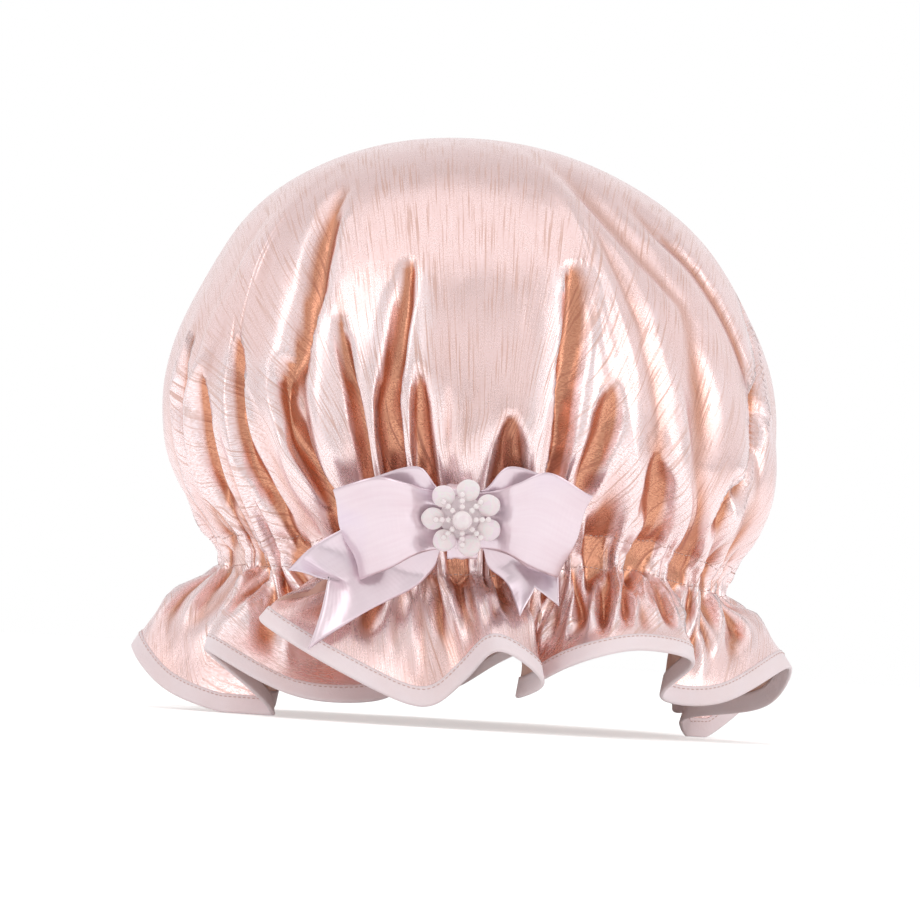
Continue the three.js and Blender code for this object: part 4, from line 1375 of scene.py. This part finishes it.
@dataclass
class ClothAssembly:
    """The outer cloth, lining, elastic, binding and stitches, all sewn along one surface."""

    kit: MeshKit
    wardrobe: Wardrobe
    cloth: CapCloth = field(default_factory=CapCloth)
    flat_radius: float = .316
    lining_radius: float = .308
    lining_follows: float = 92.0
    hemmed_gap: float = .42
    elastic_room: float = 1.8
    stitch_lift: float = .16
    stitch_pitch: float = 2.15
    stitch_length: float = 1.55
    thread_width: float = .42

    def shell(self, name: str, outer: Array, inner: Array, poles: tuple[Array, Array],
              slot: Slot) -> bpy.types.Object:
        """A thin closed dome from its outer and inner grids.

        Args:
            name: the piece's name.
            outer: points of the outer face by ring and column.
            inner: points of the inner face.
            poles: the outer and inner pole.
            slot: the finish.

        Returns:
            The finished object.
        """
        flat = self.cloth.flat()
        points, coordinates, fold_shade_mask, faces, hems = [], [], [], [], []
        for side, (grid, pole) in enumerate(((outer, poles[0]), (inner, poles[1]))):
            numbers = []
            start = len(points)
            points.append(pole)
            coordinates.append(np.zeros(2))
            fold_shade_mask.append(0.0)
            for ring, keep in enumerate(self.cloth.keeps):
                columns = np.arange(0, self.cloth.columns, keep)
                numbers.append(np.arange(len(columns)) + len(points))
                points.extend(grid[ring][columns])
                coordinates.extend(flat[ring][columns])
                fold_shade_mask.extend(self.cloth.fold_shade_mask[ring][columns])
            top = numbers[0]
            made = [(start, int(top[i]), int(top[(i + 1) % len(top)])) for i in range(len(top))]
            for upper, lower in zip(numbers, numbers[1:]):
                made += stitch_rings(upper, lower)
            faces += made if side == 0 else [face[::-1] for face in made]
            hems.append(numbers[-1])
        ring, under = hems
        n = len(ring)
        faces += [(int(ring[i]), int(under[i]), int(under[(i + 1) % n]), int(ring[(i + 1) % n])) for i in range(n)]
        return self.kit.make(name, np.array(points), faces, self.wardrobe.made[slot], np.array(coordinates),
                             fold_shade_mask=np.array(fold_shade_mask))

    def outer(self) -> bpy.types.Object:
        """The metallic outer cloth.

        Returns:
            The finished object.
        """
        c = self.cloth
        poles = (c.pole, c.pole - np.array([0, 0, c.thickness]))
        piece = self.shell("lame_shell", c.grid, c.grid - c.normals * c.thickness, poles, Slot.LAME)
        return self.wardrobe.dress(piece, "outer_shell", Slot.LAME)

    def hung(self, first: int, step: float = .25, window: int = 5) -> Array:
        """The lining hanging inside the crown, clear of the narrow creases that only the outer cloth has.

        Args:
            first: the ring it starts at.
            step: spacing in degrees at which the cloth's distance from the middle is read.
            window: how many of those steps to both sides it keeps clear of.

        Returns:
            The lining's outer face by ring and column, down to the neck.
        """
        c, form = self.cloth, self.cloth.form
        even = np.arange(0, TURN, step)
        profiles = []
        for ring in c.grid[:c.crown_rings + 1]:
            turn, radius = form.around(ring)
            turn = turn % TURN
            order = np.argsort(turn)
            profile = np.interp(even, turn[order], radius[order], period=TURN)
            np.minimum.at(profile, (np.round(turn / step).astype(int)) % len(even), radius)
            profiles.append(profile)
        least = np.array(profiles)
        for axis, reach in ((0, 2), (1, window)):
            least = np.stack([np.roll(least, shift, axis=axis) for shift in range(-reach, reach + 1)]).min(axis=0)
        evened = sum(np.roll(least, shift, axis=1) for shift in range(-window, window + 1)) / (2 * window + 1)
        found = []
        for base, profile in zip(c.base[first:c.crown_rings], evened[first:]):
            turn = form.around(base)[0] % TURN
            radius = np.interp(turn, even, profile, period=TURN) - c.thickness - c.lining_gap
            angle, height = np.radians(turn), base[:, 2]
            found.append(np.stack([form.middle(height) + radius * np.sin(angle),
                                   -radius * np.cos(angle) * form.depth_share, height], axis=-1))
        return np.array(found)

    def lining_grids(self) -> tuple[Array, Array]:
        """The lining, drawn in under the elastic.

        Returns:
            Its outer and inner faces by ring and column.
        """
        c, form = self.cloth, self.cloth.form
        hemmed = smooth((c.shares[:, None] - .6) / .4)
        outer = c.grid - c.normals * mix(c.thickness + c.lining_gap, self.hemmed_gap, hemmed)[..., None]
        # In the ruffle it hangs straighter than the outer cloth, but only inwards.
        bent = ((blurred(c.grid, 6, 1) - c.grid) * c.normals).sum(axis=-1)
        loose = (c.shares[:, None] > 0) * (1 - smooth((c.shares[:, None] - .55) / .3))
        outer = outer + c.normals * (np.clip(bent, -4, 0) * loose)[..., None]
        first = int(np.argmax(c.arcs > self.lining_follows))
        rings = np.arange(first, c.crown_rings)
        sewn = smooth(np.minimum(c.casing[0] - rings, rings - first) / 4)[:, None, None]
        outer[first:c.crown_rings] = mix(outer[first:c.crown_rings], self.hung(first), sewn)
        radius = np.maximum(form.around(outer)[1], 1e-6)
        away = np.maximum(np.abs(c.arcs[:, None] - c.neck_arc) - form.casing_width / 2, 0)
        drawn = mix(radius, c.elastic_outer - self.elastic_room, np.exp(-(away / 6) ** 2))
        scale = np.minimum(radius, drawn) / radius
        centre = form.middle(outer[..., 2])
        outer[..., 0] = centre + (outer[..., 0] - centre) * scale
        outer[..., 1] *= scale
        return outer, outer - grid_normals(outer, True) * c.lining_thickness

    def lining(self) -> bpy.types.Object:
        """The film inside the outer cloth.

        Returns:
            The finished object.
        """
        c = self.cloth
        outer, inner = self.lining_grids()
        pole = c.pole - np.array([0, 0, c.lining_gap])
        poles = (pole, pole - np.array([0, 0, c.lining_thickness]))
        piece = self.shell("lining_film", outer, inner, poles, Slot.LINING)
        return self.wardrobe.dress(piece, "lining", Slot.LINING)

    def elastic(self, width: float = 6.0, thickness: float = 1.0, ribs: int = 6) -> bpy.types.Object:
        """The flat elastic in its casing, with woven ribs along it.

        Args:
            width: its height in the casing.
            thickness: its thickness.
            ribs: how many ribs run along it.

        Returns:
            The finished object.
        """
        c, form = self.cloth, self.cloth.form
        angles = np.linspace(0, TURN, 360, endpoint=False)
        section = [(c.elastic_outer - thickness * .12 * (n % 2), mix(-width / 2, width / 2, n / (2 * ribs)))
                   for n in range(2 * ribs + 1)]
        section += [(c.elastic_outer - thickness, width / 2), (c.elastic_outer - thickness, -width / 2)]
        rings = [form.body(angles, radius, np.full_like(angles, form.neck_height)) + np.array([0, 0, lift])
                 for radius, lift in section]
        points = np.array(rings).transpose(1, 0, 2)
        piece = self.kit.make("elastic", points.reshape(-1, 3), ring_faces(*points.shape[:2]),
                              self.wardrobe.made[Slot.ELASTIC])
        return self.wardrobe.dress(piece, "elastic_band", Slot.ELASTIC)

    def binding(self, wall: float = .45, rise: float = 7.6, outside: float = .06, inside: float = -.9,
                seam_drop: float = 1.4, seam_lift: float = .12) -> bpy.types.Object:
        """The tape folded over the hem.

        Args:
            wall: the tape's thickness.
            rise: how far it reaches up from the edge.
            outside: where its outer leg lies on the cloth's outer face.
            inside: where its inner leg lies under the lining.
            seam_drop: how far its stitches lie under its upper edge.
            seam_lift: how far they stand on it.

        Returns:
            The finished object.
        """
        c = self.cloth
        edge, strip, fall = c.grid[-1], c.grid[c.top_ring:], -c.upward
        lengths = np.linalg.norm(np.diff(strip, axis=0), axis=2).mean(axis=1)
        ups = np.concatenate([[0], np.cumsum(lengths)])
        ups = ups[-1] - ups
        normal = unit(c.normals[c.top_ring:].sum(axis=0))
        for _ in range(3):
            normal = unit(np.roll(normal, 1, axis=0) + normal + np.roll(normal, -1, axis=0))

        def at(up: float) -> Array:
            """The cloth's outer face at a distance from its edge.

            Args:
                up: how far above the edge, or below it where it is less than nothing.

            Returns:
                One point for each column.
            """
            if up <= 0:
                return edge + fall * (-up)
            share = min(up, ups[0])
            ring = int(np.clip(np.searchsorted(-ups, -share, side="right") - 1, 0, len(ups) - 2))
            t = (ups[ring] - share) / (ups[ring] - ups[ring + 1])
            return mix(strip[ring], strip[ring + 1], t) - fall * (up - share)

        front, back = outside + wall, inside - wall
        middle, half = (outside + inside) / 2, (front - back) / 2
        gap = half - wall
        lifts = np.linspace(rise, 0, 7)
        outline = [(up, front) for up in lifts]
        outline += [(-half * math.sin(a), middle + half * math.cos(a)) for a in np.radians([30, 60, 90, 120, 150])]
        outline += [(up, back) for up in lifts[::-1]]
        outline += [(rise, inside)] + [(up, inside) for up in lifts[1:]]
        outline += [(-gap * math.sin(a), middle + gap * math.cos(a)) for a in np.radians([150, 90, 30])]
        outline += [(up, outside) for up in lifts[::-1]]
        sections = np.array([at(up) + normal * away for up, away in outline])
        sections[..., 2] = np.maximum(sections[..., 2], 0)
        points = sections.transpose(1, 0, 2)
        run = distances(edge)
        flat = strip_places(run, np.array([up for up, _ in outline]))
        piece = self.kit.make("hem_tape", points.reshape(-1, 3), ring_faces(*points.shape[:2], turned=True),
                              self.wardrobe.made[Slot.BINDING], flat)
        self.hem_length = float(run[-1] + np.linalg.norm(edge[0] - edge[-1])) * MM
        self.seam = at(rise - seam_drop) + normal * (front + seam_lift)
        return self.wardrobe.dress(piece, "hem_binding", Slot.BINDING)

    def stitches(self, tree: StitchTree) -> list[bpy.types.Object]:
        """The two rows through the casing and the row along the binding.

        Args:
            tree: the tree that lays a row.

        Returns:
            The finished rows.
        """
        c, thread = self.cloth, self.wardrobe.made[Slot.THREAD]
        upper, lower = (c.grid[ring] + c.normals[ring] * self.stitch_lift for ring in c.casing)
        rows = (("casing_stitches_upper", upper, "casing_stitch_upper"),
                ("casing_stitches_lower", lower, "casing_stitch_lower"), ("hem_stitches", self.seam, "hem_topstitch"))
        made = []
        for name, path, node in rows:
            edges = [(i, (i + 1) % len(path)) for i in range(len(path))]
            piece = self.kit.grow(self.kit.make(name, path, [], thread, edges=edges), tree.tree, {
                "Pitch": self.stitch_pitch * MM, "Stitch length": self.stitch_length * MM,
                "Thread width": self.thread_width * MM, "Finish": thread})
            made.append(self.wardrobe.dress(piece, node, Slot.THREAD))
        return made

    def build(self, tree: StitchTree) -> None:
        """Args:
            tree: the tree that lays a row of stitches.
        """
        self.cloth.build()
        outer, lining = self.outer(), self.lining()
        self.elastic()
        tape = self.binding()
        stitches = self.stitches(tree)


@dataclass
class Bow:
    """The ribbon bow: loops, tails and centre wrap, in the bow's own frame."""

    kit: MeshKit
    wardrobe: Wardrobe
    ribbon: float = 38.0
    thickness: float = .4
    height: float = 84.0
    offset: float = -1.5
    standoff: float = 120.6
    tilt: float = 3.5
    lean: float = 18.0
    wrap_width: float = 12.4
    wrap_height: float = 30.0
    wrap_room: float = 1.3
    front_depth: float = .13
    back_depth: float = .06

    def placed(self, points: Array, leaning: bool = False) -> Array:
        """Points of the bow's frame in the cap's.

        Args:
            points: points in the bow's frame.
            leaning: whether they lean with the crown.

        Returns:
            The points in the cap's frame.
        """
        spun = np.asarray(points, dtype=float)
        if leaning:
            a = math.radians(self.lean)
            y, z = spun[..., 1], spun[..., 2]
            spun = np.stack([spun[..., 0], y * math.cos(a) - z * math.sin(a), y * math.sin(a) + z * math.cos(a)], -1)
        a = math.radians(-self.tilt)
        x, z = spun[..., 0], spun[..., 2]
        turned = np.stack([x * math.cos(a) + z * math.sin(a), spun[..., 1], -x * math.sin(a) + z * math.cos(a)], -1)
        return turned + np.array([self.offset, -self.standoff, self.height])

    def edges(self, table: Array, falls: Array | None = None) -> list[Array]:
        """Smooth curves through the table's edges.

        Args:
            table: a ribbon's table.
            falls: how much further forward each of its points lies.

        Returns:
            The curves in the bow's frame.
        """
        count = (table.shape[1] - 1) // 2
        slope = math.tan(math.radians(self.lean))
        curves = []
        for edge in range(count):
            u, v = table[:, 2 * edge], table[:, 2 * edge + 1]
            forward = table[:, -1] + v * slope + (0 if falls is None else falls[:, edge])
            curves.append(catmull(np.stack([u, -forward, v], axis=1) * self.ribbon, steps=9))
        return curves

    def strip(self, name: str, node: str, lanes: Array, lengths: Array) -> bpy.types.Object:
        """A thin ribbon from its lanes of points.

        Args:
            name: the piece's name.
            node: the solid that it stands for.
            lanes: points by station and lane.
            lengths: distance along the ribbon at each station.

        Returns:
            The finished object.
        """
        stations, count = lanes.shape[:2]
        across = np.linspace(-1, 1, count)
        # The ribbon thins to half at its woven edges.
        edge = .5 + .5 * np.clip((1 - np.abs(across)) / .06, 0, 1)[None, :, None]
        lift = grid_normals(lanes, False) * self.thickness / 2 * edge
        ring = np.concatenate([lanes + lift, (lanes - lift)[:, ::-1]], axis=1)
        sides = 2 * count
        faces = ring_faces(stations, sides, closed=False, turned=True)
        end = (stations - 1) * sides
        for k in range(count - 1):
            faces.append((k, sides - 1 - k, sides - 2 - k, k + 1))
            faces.append((end + k, end + k + 1, end + sides - 2 - k, end + sides - 1 - k))
        flat = strip_places(lengths, np.concatenate([across, across[::-1]]) * self.ribbon / 2)
        piece = self.kit.make(name, self.placed(ring).reshape(-1, 3), faces, self.wardrobe.made[Slot.SATIN], flat)
        self.wardrobe.dress(piece, node, Slot.SATIN)
        return piece

    def lanes(self, curves: list[Array], count: int, pinch: float, depth: float, pleats: float,
              seed: int) -> tuple[Array, Array]:
        """Points across a ribbon between its edges, with pleats near its pinched middle.

        Args:
            curves: the edges' curves.
            count: how many lanes.
            pinch: how far the pleats reach from the middle.
            depth: the pleats' depth.
            pleats: how many pleats lie across the ribbon.
            seed: fixed seed of the soft waves.

        Returns:
            The points by station and lane, and the distance along the ribbon.
        """
        share = np.linspace(0, 1, count)
        if len(curves) == 2:
            lanes = mix(curves[0][:, None], curves[1][:, None], share[None, :, None])
        else:
            a, b, c = (curve[:, None] for curve in curves)
            t = share[None, :, None]
            lanes = np.where(t < .5, mix(a, b, 2 * t), mix(b, c, 2 * t - 1))
        centre = lanes.mean(axis=1)
        lengths, away = distances(centre), np.abs(centre[:, 0])
        near = (smooth((away - 5) / 6) * np.exp(-(np.maximum(away - 11, 0) / pinch) ** 2))[:, None]
        waves = .5 + .5 * np.cos(2 * np.pi * pleats * share[None, :] + 1.1 * np.sin(lengths[:, None] / 9))
        soft = ripples(share[None, :] * .5, lengths[:, None], seed, around=(1, 3), upward=4.0, count=8)
        inside = np.sin(np.pi * share)[None, :] ** .5
        moved = depth * waves * near * inside + soft * (1 - near) ** 1.5
        return lanes + grid_normals(lanes, False) * moved[..., None], lengths

    def loops(self) -> bpy.types.Object:
        """The two loops, one ribbon crossing the middle in front and meeting behind."""
        lanes = self.lanes(self.edges(LOOP_ROWS), count=33, pinch=17, depth=.9, pleats=2.5, seed=3)
        return self.strip("bow_loops", "bow_loop_ribbon", *lanes)

    def tails(self) -> bpy.types.Object:
        """The two tails, one ribbon behind the loops with notched ends.

        Returns:
            The finished object.
        """
        slope = math.tan(math.radians(self.lean)) + .25
        falls = np.maximum(0, -TAIL_ROWS[:, [1, 3, 5]] - .62) * slope
        lanes = self.lanes(self.edges(TAIL_ROWS, falls), count=25, pinch=12, depth=.2, pleats=4, seed=8)
        return self.strip("bow_tails", "bow_tail_ribbon", *lanes)

    def wrap(self, front: float, back: float, corner: float = 2.0, wall: float = .45,
             lanes: int = 15) -> bpy.types.Object:
        """The ribbon drawn round the middle, with soft folds along it.

        Args:
            front: how far forward it reaches.
            back: how far back it reaches.
            corner: radius of its corners.
            wall: its thickness.
            lanes: how many points lie across it.

        Returns:
            The finished object.
        """
        half = self.wrap_height / 2 - corner
        outline = []
        for cx, cz, start in ((front - corner, -half, -90), (front - corner, half, 0),
                              (back + corner, half, 90), (back + corner, -half, 180)):
            outline += [(cx + corner * math.cos(math.radians(a)), cz + corner * math.sin(math.radians(a)))
                        for a in np.linspace(start, start + 90, 7)]
        corners = np.array(outline)
        dense = []
        for a, b in zip(corners, np.roll(corners, -1, axis=0)):
            steps = max(1, int(np.linalg.norm(b - a) / 1.4))
            dense += [mix(a, b, n / steps) for n in range(steps)]
        path = np.array(dense)
        tangent = unit(np.roll(path, -1, axis=0) - np.roll(path, 1, axis=0))
        outward = np.stack([tangent[:, 1], -tangent[:, 0]], axis=1)
        across = np.linspace(-1, 1, lanes)
        lift = .28 * np.cos(across * np.pi * 2.5) * (1 - across ** 4) - .05 - .1 * np.abs(across) ** 3
        sides = np.stack([np.concatenate([across, across[::-1]]), np.concatenate([lift, lift[::-1] - wall])], axis=1)
        points = []
        for place, out in zip(path, outward):
            for x, raised in sides:
                depth, height = place + out * raised
                points.append((x * self.wrap_width / 2, -depth, height))
        run = distances(path)
        piece = self.kit.make("bow_wrap", self.placed(np.array(points), True), ring_faces(len(path), len(sides)),
                              self.wardrobe.made[Slot.SATIN], strip_places(run, sides[:, 0] * self.wrap_width / 2))
        self.wardrobe.dress(piece, "bow_centre_wrap", Slot.SATIN)
        return piece

    def build(self) -> None:
        """Makes the bow."""
        depth = self.ribbon * math.cos(math.radians(self.lean))
        self.loops()
        self.tails()
        self.wrap(self.front_depth * depth + self.wrap_room, -self.back_depth * depth - self.wrap_room)


@dataclass
class Flower:
    """Shell petals, pearl strands and a centre pearl on a felt backing."""

    kit: MeshKit
    wardrobe: Wardrobe
    bow: Bow
    petal_base: float = 7.6
    petal_circle: float = 23.6
    petal_width: float = 9.4
    petal_thickness: float = 1.6
    petals: int = 7
    petal_start: float = 78.0
    strand_level: float = 10.65
    strands: int = 8
    strand_start: float = 90.0
    beads: int = 3
    pearl: float = 8.0
    pearl_gap: float = .3
    seed_pearl: float = 2.45
    seed_pitch: float = 2.5
    thread_width: float = .6
    rise: float = 3.46

    def placed(self, points: Array) -> Array:
        """Points of the flower's frame in the cap's."""
        return self.bow.placed(np.asarray(points) + np.array([0, 0, self.rise]), True)

    def petal(self, number: int, around: int = 40, rings: int = 7) -> bpy.types.Object:
        """One domed petal with a softly uneven rim.

        Args:
            number: which petal it is.
            around: how many points its rim has.
            rings: how many rings its dome has.

        Returns:
            The finished object.
        """
        rng = np.random.default_rng(40 + number)
        direction = math.radians(self.petal_start - number * TURN / self.petals)
        x, z = np.array([math.cos(direction), math.sin(direction)]) * self.petal_circle / 2
        turn = np.linspace(0, 2 * np.pi, around, endpoint=False)
        rim = 1 + .018 * np.cos(3 * turn + rng.uniform(0, 6)) + .012 * np.cos(5 * turn + rng.uniform(0, 6))
        radius, base = self.petal_width / 2, -self.petal_base
        profile = [(radius * math.sin(a), self.petal_thickness * (.35 + .65 * math.cos(a)))
                   for a in np.linspace(.12, np.pi / 2, rings)]
        profile += [(radius * .97, self.petal_thickness * .12), (radius * .9, 0.0), (radius * .45, 0.0)]
        points = [(x, base - self.petal_thickness, z)]
        points += [(x + r * edge * math.cos(a), base - depth, z + r * edge * math.sin(a))
                   for r, depth in profile for a, edge in zip(turn, rim)]
        points.append((x, base, z))
        name = f"petal_{number + 1}"
        piece = self.kit.make(name, self.placed(points), bead_faces(len(profile), around),
                              self.wardrobe.made[Slot.SHELL])
        return self.wardrobe.dress(piece, f"shell_{name}", Slot.SHELL)

    def strand(self, number: int, tree: StrandTree) -> bpy.types.Object:
        """One radial strand of seed pearls.

        Args:
            number: which strand it is.
            tree: the tree that threads a strand.

        Returns:
            The finished object.
        """
        direction = math.radians(number * TURN / self.strands + self.strand_start)
        first = self.pearl / 2 + self.seed_pearl / 2 + self.pearl_gap
        sense = np.array([math.cos(direction), 0, -math.sin(direction)])
        points = [sense * (first + n * self.seed_pitch) + np.array([0, -self.strand_level, 0])
                  for n in range(self.beads)]
        pearl = self.wardrobe.made[Slot.PEARL]
        seed = self.kit.make(f"seed_pearls_{number + 1}", self.placed(points), [], pearl,
                             edges=[(n, n + 1) for n in range(self.beads - 1)])
        piece = self.kit.grow(seed, tree.tree, {"Bead width": self.seed_pearl * MM,
                                                "Thread width": self.thread_width * MM, "Finish": pearl})
        return self.wardrobe.dress(piece, f"pearl_strand_{number + 1}", Slot.PEARL)

    def centre(self, around: int = 48, rings: int = 24) -> bpy.types.Object:
        """The large centre pearl.

        Args:
            around: how many points go round it.
            rings: how many steps go from its front to its back.

        Returns:
            The finished object.
        """
        radius = self.pearl / 2
        middle = np.array([0, -self.petal_base - radius, 0])
        points = [middle + np.array([0, -radius, 0])]
        for polar in (np.pi * n / rings for n in range(1, rings)):
            points += [middle + radius * np.array([math.sin(polar) * math.cos(a), -math.cos(polar),
                                                   math.sin(polar) * math.sin(a)])
                       for a in np.linspace(0, 2 * np.pi, around, endpoint=False)]
        points.append(middle + np.array([0, radius, 0]))
        piece = self.kit.make("centre_bead", self.placed(points), bead_faces(rings - 1, around),
                              self.wardrobe.made[Slot.PEARL])
        return self.wardrobe.dress(piece, "centre_pearl", Slot.PEARL)

    def build(self, tree: StrandTree) -> None:
        """Makes the flower.

        Args:
            tree: the tree that threads a strand.
        """
        for number in range(self.petals):
            self.petal(number)
        for number in range(self.strands):
            self.strand(number, tree)
        self.centre()


@dataclass
class Studio:
    """The pale floor, the soft lights and the camera."""

    target: Array
    distance: float = 2.0
    elevation: float = -2.5
    roll: float = 3.5
    lens: float = 182.0
    sensor: float = 36.0
    shift: tuple[float, float] = (-.012, -.025)
    lit_height: float = .13

    def floor(self, half: float = 6.0) -> None:
        """A plain pale floor that keeps the cap's shadow.

        Args:
            half: half its width in metres.
        """
        mesh = bpy.data.meshes.new("floor")
        mesh.from_pydata([(-half, -half, 0), (half, -half, 0), (half, half, 0), (-half, half, 0)], [], [(0, 1, 2, 3)])
        paint = Paint("floor_paper")
        grain = paint.noise(paint.place(None), 30, 3)
        paint.set(Base_Color=paint.blend(grain, (.93, .93, .93), (.96, .96, .96)), Roughness=.9)
        glow = paint.sums("MULTIPLY", self.plain_rays(paint), .5)
        paint.set(Emission_Color=(1.0, 1.0, 1.0), Emission_Strength=glow)
        mesh.materials.append(paint.material)
        floor = bpy.data.objects.new("floor", mesh)
        floor.location.z = -.0002
        bpy.context.scene.collection.objects.link(floor)

    def plain_rays(self, tree: Tree) -> Socket:
        """1 for what the camera, a mirror or clear glass sees of the white surround, and 0 for its light.

        Args:
            tree: the tree that the nodes go into.

        Returns:
            The value.
        """
        path = tree.node("ShaderNodeLightPath").outputs
        both = tree.sums("MAXIMUM", path["Is Camera Ray"], path["Is Glossy Ray"])
        return tree.sums("MAXIMUM", both, path["Is Transmission Ray"])

    def world(self, level: float = .745, dim: float = .32) -> None:
        """A white surround that is darker low down on the camera's side of the room, away from the camera's eye.

        Args:
            level: strength of its light on the cap.
            dim: how bright its dark part shows in what mirrors it.
        """
        world = bpy.data.worlds.new("surround")
        bpy.context.scene.world = world
        world.use_nodes = True
        t = Tree(world.node_tree)
        t.tree.nodes.clear()
        sense = t.node("ShaderNodeSeparateXYZ", {0: t.node("ShaderNodeTexCoord").outputs["Generated"]}).outputs
        high = t.span(sense["Z"], 0.0, 1.0, -.04, .16, interpolation_type="SMOOTHSTEP")
        behind = t.span(sense["Y"], 0.0, 1.0, -.1, .5, interpolation_type="SMOOTHSTEP")
        bright = t.sums("MAXIMUM", t.sums("MAXIMUM", high, behind),
                        t.node("ShaderNodeLightPath").outputs["Is Camera Ray"])
        rays = self.plain_rays(t)
        shade = t.span(bright, t.span(rays, .8, dim), 1.0)
        shade = t.sums("MULTIPLY", shade, t.span(sense["Z"], 1.0, .7, .45, .95))
        strength = t.sums("MULTIPLY", t.span(rays, level, 1.0), shade)
        back = t.node("ShaderNodeBackground", {"Color": (1, 1, 1, 1), "Strength": strength})
        out = t.node("ShaderNodeOutputWorld")
        t.tree.links.new(back.outputs[0], out.inputs["Surface"])

    def lamp(self, name: str, place: tuple[float, float, float], size: tuple[float, float], power: float) -> None:
        """A soft rectangular light that faces the cap.

        Args:
            name: the light's name.
            place: where it stands, in metres.
            size: its width and height.
            power: its power in watts.
        """
        lamp = bpy.data.lights.new(name, "AREA")
        lamp.shape, lamp.size, lamp.size_y, lamp.energy = "RECTANGLE", size[0], size[1], power
        piece = bpy.data.objects.new(name, lamp)
        piece.location = place
        piece.rotation_euler = (Vector((0, 0, self.lit_height)) - Vector(place)).to_track_quat("-Z", "Y").to_euler()
        bpy.context.scene.collection.objects.link(piece)

    def camera(self) -> None:
        """The camera at the picture's angle, a little rolled."""
        data = bpy.data.cameras.new("camera")
        data.lens, data.sensor_width = self.lens, self.sensor
        data.shift_x, data.shift_y = self.shift
        data.clip_start, data.clip_end = .05, 60
        e, r = math.radians(self.elevation), math.radians(self.roll)
        ahead = Vector((0, math.cos(e), -math.sin(e)))
        right, up = Vector((1, 0, 0)), Vector((0, math.sin(e), math.cos(e)))
        across, above = right * math.cos(r) + up * math.sin(r), up * math.cos(r) - right * math.sin(r)
        turned = Matrix((across, above, -ahead)).transposed().to_4x4()
        turned.translation = Vector(self.target) - ahead * self.distance
        camera = bpy.data.objects.new("camera", data)
        camera.matrix_world = turned
        bpy.context.scene.collection.objects.link(camera)
        bpy.context.scene.camera = camera

    def build(self) -> None:
        """Sets up the camera, the floor, the surround and the lamps."""
        bpy.context.scene.view_settings.view_transform = "Standard"
        self.camera()
        self.floor()
        self.world()
        self.lamp("overhead", place=(0, -.25, 1.5), size=(1.9, 1.0), power=3)
        self.lamp("key_left", place=(-1.1, -.9, 1.0), size=(.8, 1.3), power=3.4)
        self.lamp("fill_right", place=(1.2, -.8, .7), size=(.65, 1.3), power=3.6)


def build_cap() -> None:
    """Builds every sub-assembly in order."""
    top = max(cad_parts["outer_shell"].data.vertices, key=lambda v: v.co.z).co
    shift = np.array([top.x, top.y, top.z]) / MM - CapForm().pole()
    kit = MeshKit(shift)
    wardrobe = Wardrobe()
    wardrobe.fill()
    ClothAssembly(kit, wardrobe).build(StitchTree())
    bow = Bow(kit, wardrobe)
    bow.build()
    Flower(kit, wardrobe, bow).build(StrandTree())
    carried = {"flower_backing": Slot.FELT, "bow_tacking_thread": Slot.THREAD}
    for name, slot in carried.items():
        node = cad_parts[name]
        node.data.materials.clear()
        node.data.materials.append(wardrobe.made[slot])
        log.info("%s: dressed as it is, %s", name, slot.value)
    aim = np.array([0, 0, 123.2])
    Studio((aim + shift) * MM).build()


if __name__ == "__main__":
    logging.basicConfig(level=logging.INFO, format="%(message)s")
    build_cap()
